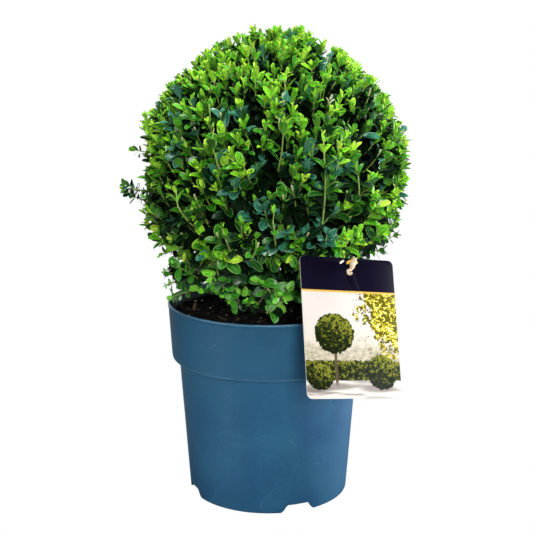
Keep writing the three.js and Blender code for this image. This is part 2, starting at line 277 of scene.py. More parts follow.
def makeMottle():
    inputs = {"Vector": None, "Patch Size": 30.0, "Speck Size": 400.0, "Strength": 0.3,
              "Colour": (0.5, 0.5, 0.5), "Other Colour": (0.4, 0.4, 0.4)}
    group, inside, outside = newGroup("mottle", inputs, {"Colour": "Color", "Mask": "Float", "Specks": "Float"})
    patches, specks = [
        put(group, "ShaderNodeTexNoise", {"Vector": inside.outputs["Vector"], "Scale": inside.outputs[size],
                                          "Detail": detail}).outputs[0]
        for size, detail in (("Patch Size", 3.0), ("Speck Size", 2.0))]
    mask = span(group, calc(group, "MULTIPLY_ADD", specks, 0.35, patches), 0.45, 0.9)
    share = calc(group, "MULTIPLY", mask, inside.outputs["Strength"])
    colour = blend(group, share, inside.outputs["Colour"], inside.outputs["Other Colour"])
    for label, value in (("Colour", colour), ("Mask", mask), ("Specks", specks)):
        group.links.new(value, outside.inputs[label])
    return group


mottle = makeMottle()


def mottled(tree, where, patchSize, speckSize, strength, colour, otherColour):
    sockets = {"Vector": where, "Patch Size": patchSize, "Speck Size": speckSize, "Strength": strength,
               "Colour": (*colour, 1), "Other Colour": (*otherColour, 1)}
    node = put(tree, "ShaderNodeGroup", sockets, node_tree=mottle)
    return [node.outputs[label] for label in ("Colour", "Mask", "Specks")]


# leaves

leafForm = {
    "rows": (0.07, 0.25, 0.50, 0.76, 0.93),  # where the outline is cut, from stalk to tip
    "bluntness": 0.56,  # smaller is a blunter leaf
}
leafRows = np.array(leafForm["rows"])
ribStops = np.concatenate([[0.0], leafRows, [1.0]])
rowCount = len(leafRows)


def leafFaces():
    rib = np.arange(rowCount + 2)
    left = rib[-1] + 1 + np.arange(rowCount)
    right = left + rowCount
    corners = [(0, 1, left[0]), (0, right[0], 1)]
    corners += [(rib[-2], rib[-1], left[-1]), (rib[-2], right[-1], rib[-1])]
    for k in range(rowCount - 1):
        corners.append((rib[k + 1], rib[k + 2], left[k + 1], left[k]))
        corners.append((rib[k + 1], right[k], right[k + 1], rib[k + 2]))
    return corners


def unit(v):
    return v / np.maximum(np.linalg.norm(v, axis=-1, keepdims=True), 1e-12)


def leafPoints(leaves, tipward):
    # The rib bends away from the face it shows, and each half blade rises from the rib by the fold.
    bend = np.where(np.abs(leaves["curl"]) < 0.01, 0.01, leaves["curl"])[:, None]
    along, face = leaves["along"][:, None, :], leaves["face"][:, None, :]
    side = np.cross(face, along)
    length = leaves["length"][:, None]
    ahead = np.sin(bend * ribStops) / bend * length
    down = -(1 - np.cos(bend * ribStops)) / bend * length
    rib = leaves["place"][:, None, :] + ahead[..., None] * along + down[..., None] * face
    turned = bend[..., None] * leafRows[None, :, None]
    lift = np.cos(turned) * face + np.sin(turned) * along
    outline = np.sin(math.pi * leafRows ** tipward) ** leafForm["bluntness"]
    half = leaves["width"][:, None, None] / 2 * outline[None, :, None]
    fold = leaves["fold"][:, None, None]
    rows = rib[:, 1:-1]
    left = rows + half * (np.cos(fold) * side + np.sin(fold) * lift)
    right = rows + half * (np.sin(fold) * lift - np.cos(fold) * side)
    return np.concatenate([rib, left, right], axis=1)


def meshFromParts(name, points, corners, uvs=None, sharp=None):
    # points is parts x vertices x 3, and every part has the same faces and the same map.
    parts, perPart = points.shape[:2]
    sizes = np.array([len(face) for face in corners])
    flat = np.concatenate([np.array(face) for face in corners])
    loops = (flat[None, :] + np.arange(parts)[:, None] * perPart).ravel()
    mesh = bpy.data.meshes.new(name)
    mesh.vertices.add(parts * perPart)
    mesh.vertices.foreach_set("co", points.astype(np.float32).ravel())
    mesh.loops.add(len(loops))
    mesh.loops.foreach_set("vertex_index", loops.astype(np.int32))
    mesh.polygons.add(parts * len(corners))
    starts = np.cumsum(np.tile(sizes, parts)) - np.tile(sizes, parts)
    mesh.polygons.foreach_set("loop_start", starts.astype(np.int32))
    mesh.update(calc_edges=True)
    if uvs is not None:
        layer = mesh.uv_layers.new(name="OFBake")
        layer.uv.foreach_set("vector", np.tile(uvs[flat].ravel(), parts).astype(np.float32))
    if sharp is not None:
        ends = np.empty(len(mesh.edges) * 2, np.int32)
        mesh.edges.foreach_get("vertices", ends)
        crease = sharp[ends % perPart].reshape(-1, 2).all(axis=1)
        mark = mesh.attributes.new("sharp_edge", "BOOLEAN", "EDGE")
        mark.data.foreach_set("value", crease)
    mesh.validate()
    piece = bpy.data.objects.new(name, mesh)
    bpy.context.collection.objects.link(piece)
    return piece


def makeLeafPiece(name, leaves, tipward):
    points = leafPoints(leaves, tipward)
    uvs = np.zeros((points.shape[1], 2))
    uvs[:, 0] = np.concatenate([np.full(rowCount + 2, 0.5), np.ones(rowCount), np.zeros(rowCount)])
    uvs[:, 1] = np.concatenate([ribStops, leafRows, leafRows])
    onRib = np.arange(points.shape[1]) < rowCount + 2
    return meshFromParts(name, points, leafFaces(), uvs, onRib)


def makeLeafMarks():
    inputs = {"Map": None, "Blade": (0.1, 0.3, 0.05), "Rib": (0.3, 0.5, 0.1), "Margin": (0.4, 0.5, 0.2),
              "Rib Strength": 0.6, "Margin Strength": 0.75}
    group, inside, outside = newGroup("leafMarks", inputs, {"Colour": "Color", "Relief": "Float"})
    parts = put(group, "ShaderNodeSeparateXYZ", {0: inside.outputs["Map"]})
    across = calc(group, "ABSOLUTE", calc(group, "MULTIPLY_ADD", parts.outputs[0], 2.0, -1.0))
    along = parts.outputs[1]
    ribMask = span(group, across, 0.05, 0.15, 1.0, 0.0)
    marginMask = span(group, across, 0.74, 0.92)
    veinLine = calc(group, "MULTIPLY_ADD", across, -0.22, along)
    veins = calc(group, "SINE", calc(group, "MULTIPLY", veinLine, 44.0))
    # blotches on the blade: partly the leaf's own mottle, partly painted sheen
    blotchesAndSheen = grain(group, inside.outputs["Map"], 3.2, 2.0, (1.0, 1.8, 1.0))
    blotchesAndSheen = span(group, blotchesAndSheen, 0.38, 0.62, 0.72, 1.36)
    shade = calc(group, "MULTIPLY", span(group, veins, -1.0, 1.0, 0.84, 1.12), blotchesAndSheen)
    paleStalk = span(group, along, 0.0, 0.30, 0.45, 0.0)
    blade = blend(group, 1.0, inside.outputs["Blade"], shade, "MULTIPLY")
    blade = blend(group, paleStalk, blade, inside.outputs["Rib"])
    for label, mask in (("Margin", marginMask), ("Rib", ribMask)):
        strength = calc(group, "MULTIPLY", mask, inside.outputs[label + " Strength"])
        blade = blend(group, strength, blade, inside.outputs[label])
    dome = calc(group, "SUBTRACT", 1.0, calc(group, "POWER", across, 2.0))
    groove = calc(group, "MULTIPLY_ADD", ribMask, -0.5, dome)
    group.links.new(blade, outside.inputs["Colour"])
    group.links.new(calc(group, "MULTIPLY_ADD", veins, 0.05, groove), outside.inputs["Relief"])
    return group


leafMarks = makeLeafMarks()

# Each kind of leaf is one plain colour that is dealt out by shoot and by place along it:
# the blade, the rib, the margin, the roughness and the gloss. The first six are from young to old.
leafKinds = {
    "tipLeaves": ((0.49, 0.88, 0.045), (0.58, 0.74, 0.09), (0.70, 0.82, 0.20), 0.43, 0.21),
    "youngLeaves": ((0.235, 0.70, 0.018), (0.40, 0.64, 0.05), (0.54, 0.73, 0.13), 0.40, 0.23),
    "brightLeaves": ((0.098, 0.480, 0.010), (0.27, 0.52, 0.05), (0.44, 0.66, 0.13), 0.38, 0.24),
    "freshLeaves": ((0.025, 0.238, 0.008), (0.15, 0.38, 0.035), (0.31, 0.54, 0.10), 0.36, 0.27),
    "midLeaves": ((0.0062, 0.070, 0.007), (0.06, 0.20, 0.025), (0.16, 0.36, 0.07), 0.34, 0.32),
    "deepLeaves": ((0.0020, 0.023, 0.006), (0.015, 0.065, 0.02), (0.055, 0.16, 0.06), 0.33, 0.48),
    "blueLeaves": ((0.033, 0.205, 0.118), (0.08, 0.26, 0.16), (0.20, 0.42, 0.30), 0.27, 0.58),
    "lowBrightLeaves": ((0.185, 0.72, 0.032), (0.32, 0.64, 0.09), (0.50, 0.80, 0.22), 0.35, 0.40),
    "lowMidLeaves": ((0.040, 0.290, 0.016), (0.11, 0.32, 0.045), (0.20, 0.44, 0.11), 0.35, 0.34),
    "lowDeepLeaves": ((0.0045, 0.048, 0.009), (0.025, 0.10, 0.03), (0.07, 0.19, 0.08), 0.34, 0.42),
    # painted shade: shadeLeaves is a near-black colour for leaves deep in the growth and far down old shoots,
    # where shade falls
    "shadeLeaves": ((0.0015, 0.0105, 0.0025), (0.005, 0.020, 0.005), (0.010, 0.034, 0.010), 0.6, 0.1),
    "budLeaves": ((0.66, 0.70, 0.40), (0.75, 0.78, 0.5), (0.80, 0.82, 0.62), 0.6, 0.2),
    "chipLeaves": ((0.085, 0.060, 0.036), (0.12, 0.085, 0.05), (0.15, 0.11, 0.07), 0.8, 0.15),
}
kindNames = list(leafKinds)
shadeKind, blueKind, budKind = (kindNames.index(name + "Leaves") for name in ("shade", "blue", "bud"))


def leafMaterial(name):
    blade, rib, margin, roughness, gloss = leafKinds[name]
    material, tree, shader = newMaterial(name, blade, roughness, gloss)
    sockets = {"Map": mapPlace(tree), "Blade": (*blade, 1), "Rib": (*rib, 1), "Margin": (*margin, 1)}
    marks = put(tree, "ShaderNodeGroup", sockets, node_tree=leafMarks)
    back = put(tree, "ShaderNodeNewGeometry").outputs["Backfacing"]
    under = blend(tree, 0.22, marks.outputs["Colour"], (*margin, 1))
    colour = blend(tree, back, marks.outputs["Colour"], under)
    paint(tree, shader, colour, marks.outputs["Relief"], 0.35, 0.0008)
    return material


# twigs

def tubeFrames(paths):
    ahead = unit(np.gradient(paths, axis=1))
    guide = np.where(np.abs(ahead[:, :1, 2:]) > 0.9, np.array([1.0, 0, 0]), np.array([0, 0, 1.0]))
    side = unit(np.cross(ahead, guide))
    return ahead, side, np.cross(ahead, side)


def makeTubes(name, paths, radii, sides):
    # paths is tubes x stations x 3. Each tube is a ring of sides at every station, closed at both ends.
    _, side, over = tubeFrames(paths)
    stations = paths.shape[1]
    turn = np.arange(sides) * 2 * math.pi / sides
    ring = side[:, :, None, :] * np.cos(turn)[None, None, :, None]
    ring = ring + over[:, :, None, :] * np.sin(turn)[None, None, :, None]
    points = paths[:, :, None, :] + ring * radii[:, :, None, None]
    points = points.reshape(len(paths), stations * sides, 3)
    ends = np.stack([paths[:, 0], paths[:, -1]], axis=1)
    points = np.concatenate([points, ends], axis=1)
    corners = []
    for k in range(stations - 1):
        for j in range(sides):
            low, high = k * sides + j, k * sides + (j + 1) % sides
            corners.append((low, low + sides, high + sides, high))
    foot = stations * sides
    for j in range(sides):
        corners.append((foot, j, (j + 1) % sides))
        top = (stations - 1) * sides
        corners.append((foot + 1, top + (j + 1) % sides, top + j))
    uvs = np.zeros((foot + 2, 2))
    uvs[:foot, 0] = np.tile(np.arange(sides) / sides, stations)
    uvs[:foot, 1] = np.repeat(np.linspace(0, 1, stations), sides)
    uvs[foot + 1, 1] = 1
    return meshFromParts(name, points, corners, uvs)


def bezier(a, b, c, t):
    return (1 - t) ** 2 * a + 2 * t * (1 - t) * b + t ** 2 * c


# where the shoots of a mass come to its surface

def nodePlaces(node):
    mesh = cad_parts[node].data
    places = np.empty(len(mesh.vertices) * 3, np.float32)
    mesh.vertices.foreach_get("co", places)
    return places.reshape(-1, 3).astype(float)


def nodeCorners(node):
    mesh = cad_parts[node].data
    mesh.calc_loop_triangles()
    index = np.empty(len(mesh.loop_triangles) * 3, np.int32)
    mesh.loop_triangles.foreach_get("vertices", index)
    return nodePlaces(node)[index].reshape(-1, 3, 3)


def surfaceTree(node):
    corners = nodeCorners(node).reshape(-1, 3)
    faces = np.arange(len(corners)).reshape(-1, 3)
    return BVHTree.FromPolygons([Vector(p) for p in corners], faces.tolist())


massTrees = {name: surfaceTree(name) for name in sprayNames + ["foliage_ball"]}


def pointTree(points):
    tree = kdtree.KDTree(len(points))
    for i, point in enumerate(points):
        tree.insert(point, i)
    tree.balance()
    return tree


def spreadPoints(node, spacingAt, tries=9):
    # Evenly scattered points on a mass, no two nearer than the spacing there, with their normals.
    a, b, c = nodeCorners(node).transpose(1, 0, 2)
    normal = np.cross(b - a, c - a)
    area = np.linalg.norm(normal, axis=1)
    closest = spacingAt((a + b + c) / 3).min()
    count = int(area.sum() / 2 / closest ** 2 * tries)
    face = dice.choice(len(area), count, p=area / area.sum())
    u, v = np.sqrt(dice.random(count))[:, None], dice.random(count)[:, None]
    points = a[face] * (1 - u) + b[face] * u * (1 - v) + c[face] * u * v
    spacing = spacingAt(points)
    tree = pointTree(points)
    free = np.ones(count, bool)
    kept = []
    for i in range(count):
        if free[i]:
            kept.append(i)
            for _, near, _ in tree.find_range(points[i], spacing[i]):
                free[near] = False
    return points[kept], unit(normal[face[kept]])


def unevenAt(points, size, seed):
    shift = Vector((seed * 3.1, seed * 1.7, seed * 5.3))
    return np.array([noise.noise(Vector(p) / size + shift) for p in points])


# shoots: each grows outwards through its mass, turns up, and carries leaves in crossed pairs

def steer(normal, outward, upward, stray):
    heading = normal * np.reshape(outward, (-1, 1))
    heading[:, 2] += upward
    return unit(heading + dice.normal(0, 1, normal.shape) * stray)


def growShoots(tip, normal, heading, length):
    # the first half grows outwards, the second along its heading
    turned, stray = 0.25, 0.12
    early = unit(normal + heading * turned + dice.normal(0, stray, normal.shape))
    knee = tip - heading * length[:, None] * 0.5
    foot = knee - early * length[:, None] * 0.5
    return {"foot": foot, "knee": knee, "tip": tip, "normal": normal, "length": length}


def onShoot(shoots, t):
    t = t[:, None]
    place = bezier(shoots["foot"], shoots["knee"], shoots["tip"], t)
    ahead = (1 - t) * (shoots["knee"] - shoots["foot"]) + t * (shoots["tip"] - shoots["knee"])
    return place, unit(ahead)


def sunkTips(tip, normal, heading, leaf, share):
    # the outermost leaves, not the buds, come up to the surface of the mass
    outwards = np.clip((heading * normal).sum(1), 0, 1)
    return tip - normal * (leaf * share * outwards)[:, None]


def gathered(groups):
    return {key: np.concatenate([one[key] for one in groups]) for key in groups[0]}


def chosen(group, mask):
    return {key: value[mask] for key, value in group.items()}


def squareTo(v, along):
    return unit(v - (v * along).sum(1, keepdims=True) * along)


# how the pairs of a shoot differ from one another, where the plans below don't say it
pairing = {
    "shortGaps": (0.28, 0.20),  # share of a full gap under the tip pair, and how much more each next gap has
    "gapStray": (0.8, 1.2),
    "turnStray": 0.2,
    "flatStray": 0.25,
    "tiltStray": 0.2,
    "faceStray": 0.2,
    "stalk": 0.0004,
    "growthSteps": (0, 1, 2, 3.5),
    "sizeStray": (0.82, 1.15),
    "slenderStray": (0.88, 1.14),
    "budSize": 0.6,
    "lost": 0.03,  # more of the leaves are missing with every step down
    "foldLoss": 14,  # degrees that a leaf unfolds by as it opens
    "foldStray": 6,
    "curlStray": 0.18,
}


def pairLeaves(shoots, plan):
    # One set of leaf arrays for all the shoots, from the tip pair down.
    form, count = pairing, len(shoots["tip"])
    turn = dice.uniform(0, 2 * math.pi, count)
    never = np.zeros(count, bool)
    clipped, budding = shoots.get("clipped", never), shoots.get("budding", never)
    spread = shoots.get("open", plan["open"])
    light = unit(shoots["normal"] * 0.5 + np.array([0, 0, 0.9]))
    found = []
    back = np.zeros(count)
    for step in range(plan["pairs"]):
        if step:
            gap = min(1.0, form["shortGaps"][0] + form["shortGaps"][1] * step)
            back = back + shoots["internode"] * gap * dice.uniform(*form["gapStray"], count)
        t = 1 - back / shoots["length"]
        opened = min(1.0, step / plan["openBy"])
        place, ahead = onShoot(shoots, np.maximum(t, 0.02))
        e1 = unit(np.cross(ahead, np.array([0.31, 0.17, 0.93])))
        e2 = np.cross(ahead, e1)
        for flip in (0, math.pi):
            angle = turn + step * math.pi / 2 + flip + dice.normal(0, form["turnStray"], count)
            if plan["flat"]:
                # in the shade the pairs twist round into one spray
                flatTo = np.arctan2((e2 * shoots["level"]).sum(1), (e1 * shoots["level"]).sum(1))
                angle = np.where(plan["flat"] > dice.random(count), flatTo + flip, angle)
                angle = angle + dice.normal(0, form["flatStray"], count)
            out = np.cos(angle)[:, None] * e1 + np.sin(angle)[:, None] * e2
            tilt = np.radians(plan["closed"] + (spread - plan["closed"]) * opened)
            tilt = (tilt + dice.normal(0, form["tiltStray"], count))[:, None]
            along = unit(np.cos(tilt) * ahead + np.sin(tilt) * out)
            face = np.sin(tilt) * ahead - np.cos(tilt) * out
            face = face + light * (plan["turnToLight"] * opened)
            face = squareTo(face + dice.normal(0, form["faceStray"], face.shape), along)
            grown = np.interp(step, form["growthSteps"], plan["growth"])
            length = shoots["leaf"] * grown * dice.uniform(*form["sizeStray"], count)
            if step < 2:
                length = length * np.where(budding, form["budSize"], 1.0)
            slender = np.interp(step, [0, 3], plan["slender"]) * dice.uniform(*form["slenderStray"], count)
            there = (t > plan["lowest"]) & (dice.random(count) > plan["missing"] + form["lost"] * step)
            there = there & ~(clipped & (step < 2))
            fold = np.radians(dice.normal(plan["fold"] - form["foldLoss"] * opened, form["foldStray"], count))
            curl = dice.normal(plan["curl"] * (0.4 + opened), form["curlStray"], count)
            found.append(chosen({
                "place": place + out * form["stalk"], "along": along, "face": face, "length": length,
                "width": length * slender, "fold": fold, "curl": curl, "kind": dealKind(shoots, step)}, there))
    return gathered(found)


dealing = {
    "years": 4.0,  # kinds that a shoot gets older by from age 0, this month's, to age 1, last year's
    "step": 0.86,  # and with every pair down the shoot
    "stray": 0.6,
    "blueShare": 0.14,
    "blueSteps": 5,
    "lastYearsShare": 0.7,
    "smallLeaf": 0.0135,
    "shadeFrom": (4.2, 5.0),  # small leaves and large ones take the near-black painted-shade colour from here on
    "shadeSteps": (2, 3),
}


def dealKind(shoots, step):
    form, count = dealing, len(shoots["age"])
    never = np.zeros(count, bool)
    value = shoots["age"] * form["years"] + step * form["step"] + dice.normal(0, form["stray"], count)
    ladder = np.clip(np.floor(value), 0, 5).astype(int)
    odd = (ladder >= 4) & (dice.random(count) < form["blueShare"]) & (step < form["blueSteps"])
    lastYears = shoots.get("lastYears", never) & (step < form["blueSteps"])
    lastYears = lastYears & (dice.random(count) < form["lastYearsShare"])
    kind = np.where(odd | lastYears, blueKind, ladder)
    if step < 2:
        kind = np.where(shoots.get("budding", never), budKind, kind)
    # painted shade: leaves this far down an old shoot get the near-black shadeLeaves colour
    small = shoots["leaf"] < form["smallLeaf"]
    inShade = (value > np.where(small, *form["shadeFrom"])) & (step > np.where(small, *form["shadeSteps"]))
    return np.where(inShade & ~lastYears, shadeKind, kind)


ball = {
    "topSpacing": 0.0067,
    "sideSpacing": 0.0097,
    "underSpacing": 0.0150,
    "underRing": 0.035,  # nothing grows this near the stem under the ball
    "leaves": (0.0160, 0.0152, 0.0114, 0.0094),  # leaf length from the foot of the ball to its clipped top
    "leafHeights": (0, 0.45, 0.85, 1.0),
    "leafStray": (0.76, 1.2),
    "gap": (0.34, 0.48),  # of a leaf, between one pair and the next
    "shootLength": 0.044,
    "stem": (0.00085, 0.00050),
    # how old a shoot is: to begin with, less with height, more towards the sides, by patches and at random
    "age": (0.42, 0.36, 0.19, 1.4, 0.40),
    "patchSize": 0.035,
    "sideAgeAndShade": (-1.3, 0.7, 0.13),  # to the left and to the right of the middle, at this distance from it; the older, darker leaves there are partly older growth, partly painted shade
    "oldFrom": 0.62,  # shoots older than this stand back, the more the older they are
    "oldSunk": 0.034,
    "sunk": (0.0048, 0.0030),  # how unevenly the tips stand back, low and high on the ball
    "holeSize": 0.015,
    # the uneven value that starts a hole, how much lower it is at the sides and at the top, and from what height
    "holeFrom": (0.22, 0.06, 0.12, 0.55),
    "holeDepth": 0.020,
    "holeAgeAndShade": 0.7,  # shoots in a hole are at least this old, so its leaves are darker: older growth and painted shade
    "clippedShare": 0.14,  # shoots that the shears have cut back to a bare stub
    "oldPatch": ((0.030, -0.115, 0.312), 0.050),  # where last year's growth shows most: its middle and reach
    "oldShare": (0.05, 0.50),  # shoots of last year's blue-green leaves, elsewhere and in that patch
    "outward": 0.75,
    "upward": ((-0.9, -0.4, 0.1, 0.9), (0.2, 0.75, 1.2, 0.7)),  # how much shoots turn up, by how the ball faces
    "stray": 0.22,
    "tipSunk": 0.5,  # of a leaf
    "buddingShare": 0.03,
    # where the top stands up or lies low: across, half width and height
    "crest": ((-0.012, 0.006, 0.0065), (-0.004, 0.003, -0.003), (0.010, 0.008, 0.003), (0.030, 0.009, 0.0065)),
    # where the sides stand out or are cut in: side, height, half height and how far
    "trim": ((-1, 0.350, 0.014, 0.012), (1, 0.350, 0.014, 0.007), (-1, 0.262, 0.014, 0.007),
             (-1, 0.232, 0.011, 0.014), (1, 0.325, 0.016, 0.005), (1, 0.240, 0.014, -0.008)),
    "shearReach": 0.0018,
    "fineSides": (0.05, 0.11, 0.80),  # from and to this far across, the growth gets finer by this share
    "shadeFrom": 0.0030,  # how deep in the growth a leaf may take the near-black painted-shade colour, and from what depth all do
    "shadeAll": 0.0160,
    "openness": (62, 54, 42, 36),  # degrees that the leaves open to, from the foot of the ball to its top
}
ballLow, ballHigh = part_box("foliage_ball")
ballMiddle = (ballLow + ballHigh) / 2


def heightShare(points):
    return np.clip((points[:, 2] - ballLow.z) / (ballHigh.z - ballLow.z), 0, 1)


def shearOffsets(points, normal):
    # how far off the plain ball the shears have cut at each place
    offsets = np.zeros(points.shape)
    nearTop = np.clip((heightShare(points) - 0.86) / (0.93 - 0.86), 0, 1)
    for across, wide, high in ball["crest"]:
        offsets[:, 2] += high * (np.exp(-((points[:, 0] - across) / wide) ** 2) * nearTop)
    for side, height, half, out in ball["trim"]:
        share = np.clip(side * normal[:, :1], 0, 1) ** 2 * np.exp(-((points[:, 2:] - height) / half) ** 2)
        offsets += normal * np.array([1, 1, 0]) * out * share
    return offsets


def nearestOn(mass, points):
    found = [massTrees[mass].find_nearest(Vector(p)) for p in points]
    return np.array([hit[0] for hit in found]), np.array([hit[1] for hit in found])


def sheared(leaves, reach):
    # pulls back the leaves that would stand out past where the shears have cut
    ends = leaves["place"] + leaves["along"] * leaves["length"][:, None]
    ground, normal = nearestOn("foliage_ball", ends)
    allowed = (shearOffsets(ground, normal) * normal).sum(1) + reach
    excess = np.clip(((ends - ground) * normal).sum(1) - allowed, 0, None)
    leaves["place"] = leaves["place"] - normal * excess[:, None]
    return leaves


def shadeDeepLeaves(leaves):
    # painted shade: leaves deep inside the growth get the near-black shadeLeaves colour, and none of those shows
    # at its surface
    middle = leaves["place"] + leaves["along"] * leaves["length"][:, None] / 2
    depth = np.full(len(middle), -1.0)
    for mass in massTrees:
        ground, normal = nearestOn(mass, middle)
        below = ((ground - middle) * normal).sum(1)
        inside = below > np.linalg.norm(ground - middle, axis=1) * 0.7
        depth = np.where(inside, np.maximum(depth, below), depth)
    tooShallow = (leaves["kind"] == shadeKind) & (depth < ball["shadeFrom"])
    kind = np.where(tooShallow, kindNames.index("deepLeaves"), leaves["kind"])
    leaves["kind"] = np.where(depth > ball["shadeAll"], shadeKind, kind)
    return leaves


def fineness(points):
    start, end, share = ball["fineSides"]
    return np.interp(np.abs(points[:, 0] - ballMiddle.x), [start, end], [1.0, share])


def ballSpacing(points):
    up = heightShare(points)
    spacing = np.interp(up, [0, 0.3, 0.6, 0.95], [ball["underSpacing"], ball["sideSpacing"] * 1.15,
                                                  ball["sideSpacing"], ball["topSpacing"]])
    return spacing * fineness(points) ** 0.8


def growBall():
    tip, normal = spreadPoints("foliage_ball", ballSpacing)
    under = (normal[:, 2] < -0.8) & (np.hypot(tip[:, 0], tip[:, 1]) < ball["underRing"])
    tip, normal = tip[~under], normal[~under]
    up, count = heightShare(tip), len(tip)
    # towards the sides the leaves are dealt older and darker: partly older growth, partly painted shade
    toLeft, toRight, half = ball["sideAgeAndShade"]
    sideways = np.where(tip[:, 0] < ballMiddle.x, toLeft, toRight) * (tip[:, 0] - ballMiddle.x) / half
    first, byHeight, bySide, byPatch, stray = ball["age"]
    age = first - byHeight * up + bySide * sideways + unevenAt(tip, ball["patchSize"], 1.0) * byPatch
    age = np.clip(age + dice.normal(0, stray, count), 0, 1)
    sunk = np.where(age > ball["oldFrom"], (age - ball["oldFrom"]) * ball["oldSunk"], 0)
    sunk = sunk + np.abs(dice.normal(0, 1, count)) * np.interp(up, [0.2, 0.7], ball["sunk"])
    level, atSides, atTop, topFrom = ball["holeFrom"]
    level = level - atSides * sideways - atTop * np.clip(up - topFrom, 0, 0.4)
    hole = unevenAt(tip, ball["holeSize"], 5.0) > level
    beside = np.array([leaderTree.find(p)[2] for p in tip]) < leaders["clearing"]
    # in a hole the shoots are made older, so its leaves are darker: older growth and painted shade
    for gap, depth, leastAge in ((hole, ball["holeDepth"], ball["holeAgeAndShade"]),
                                 (beside, leaders["sink"], leaders["besideAge"])):
        sunk = np.where(gap, sunk + depth, sunk)
        age = np.where(gap, np.maximum(age, leastAge), age)
    patchMiddle, patchReach = ball["oldPatch"]
    tip = tip + shearOffsets(tip, normal)
    near = np.exp(-(np.linalg.norm(tip - np.array(patchMiddle), axis=1) / patchReach) ** 2)
    lastYears = dice.random(count) < lerp(*ball["oldShare"], near)
    heading = steer(normal, ball["outward"], np.interp(normal[:, 2], *ball["upward"]), ball["stray"])
    leaf = np.interp(up, ball["leafHeights"], ball["leaves"]) * dice.uniform(*ball["leafStray"], count)
    leaf = leaf * (1 + 0.25 * age)
    leaf = leaf * np.where(lastYears, 1.15, 1.0) * fineness(tip)
    tip = sunkTips(tip - normal * sunk[:, None], normal, heading, leaf, ball["tipSunk"])
    shoots = growShoots(tip, normal, heading, ball["shootLength"] * dice.uniform(0.8, 1.2, count))
    return dict(shoots, leaf=leaf, internode=leaf * dice.uniform(*ball["gap"], count),
                age=np.where(lastYears, 0.8, age), lastYears=lastYears,
                budding=(dice.random(count) < ball["buddingShare"]) & (up > 0.4),
                open=np.interp(up, [0, 0.35, 0.75, 1.0], ball["openness"]),
                clipped=dice.random(count) < ball["clippedShare"])


# How a shoot carries its pairs: how many, over how many they open, the angles of the young and the opened ones
# (degrees), how they turn to the light, the share that twists into a flat spray, the leaf size for the first
# pairs, width to length, fold (degrees), bend, the share of leaves missing, and the lowest place for one.
ballPlan = {"pairs": 9, "openBy": 4, "closed": 13, "open": 52, "turnToLight": 0.30, "flat": 0,
            "growth": (0.5, 0.74, 0.97, 1.05), "slender": (0.44, 0.55), "fold": 32, "curl": 0.42,
            "missing": 0.0, "lowest": 0.03}

# Long pale stems that show on the face of the ball, each with wide gaps between its pairs.
leaders = {
    # across and up at the tip, then across and up at the foot, as seen from the front
    "front": ((0.045, 0.347, 0.047, 0.258), (0.014, 0.360, 0.008, 0.316), (-0.046, 0.352, -0.043, 0.312),
              (0.004, 0.286, 0.006, 0.246), (-0.038, 0.270, -0.030, 0.236), (-0.008, 0.258, -0.020, 0.230),
              (0.072, 0.322, 0.080, 0.286), (-0.080, 0.300, -0.070, 0.262)),
    "leaf": (0.0140, 0.0190),
    "gap": (0.50, 0.68),  # of a leaf, between one pair and the next
    "proud": 0.0012,
    "footSunk": 0.010,
    "kink": 0.0004,  # how far the stem steps aside at each pair
    "stem": (0.00095, 0.00060),
    "clearing": 0.0060,  # the growth this near a leader stands back behind it
    "sink": 0.006,
    "besideAge": 0.55,
    "age": (0.0, 0.45),
    "clippedShare": 0.3,
}


def leaderPaths():
    paths = []
    for tipAcross, tipUp, footAcross, footUp in leaders["front"]:
        stops = []
        for share in (0, 0.5, 1):
            start = Vector((lerp(footAcross, tipAcross, share), -0.3, lerp(footUp, tipUp, share)))
            hit, normal = massTrees["foliage_ball"].ray_cast(start, Vector((0, 1, 0)))[:2]
            stops.append(np.array(hit + normal * leaders["proud"]))
        foot, middle, tip = stops
        foot = foot - unit(foot - np.array(ballMiddle)) * leaders["footSunk"]
        paths.append((foot, 2 * middle - (foot + tip) / 2, tip))
    return paths


leaderPlaces = leaderPaths()
leaderTree = pointTree([bezier(*path, share) for path in leaderPlaces for share in np.linspace(0, 1, 12)])


def growLeaders():
    foot, knee, tip = (np.array(part) for part in zip(*leaderPlaces))
    count = len(tip)
    leaf = dice.uniform(*leaders["leaf"], count)
    return {"foot": foot, "knee": knee, "tip": tip, "normal": unit(tip - np.array(ballMiddle)),
            "length": np.linalg.norm(tip - foot, axis=1), "leaf": leaf,
            "internode": leaf * dice.uniform(*leaders["gap"], count),
            "age": dice.uniform(*leaders["age"], count),
            "clipped": dice.random(count) < leaders["clippedShare"]}


leaderPlan = dict(ballPlan, openBy=3, closed=26, open=50, missing=0.03, lowest=0.12,
                  growth=(0.30, 0.55, 0.9, 1.0), slender=(0.36, 0.5))

rods = {
    "spacing": 0.026,
    "share": 0.6,
    "lowest": 0.30,  # share of the ball's height below which none shows
    "length": (0.045, 0.085),
    "leaf": (0.0145, 0.0190),
    "gap": (0.55, 0.78),
    "stem": (0.00105, 0.00070),
    "uneven": 0.003,  # how far a tip stands proud or back
    "tipSunk": 0.3,  # of a leaf
    "faces": (0.3, 0.45),  # which way up the ball faces where they grow: the middle and how far from it
    "outward": ((0.3, 0.6), (0.75, 0.36)),  # at these heights
    "upward": 0.95,
    "stray": 0.10,
    "age": (0.05, 0.5),
    "clippedShare": 0.3,
    "footSunk": 0.008,
}


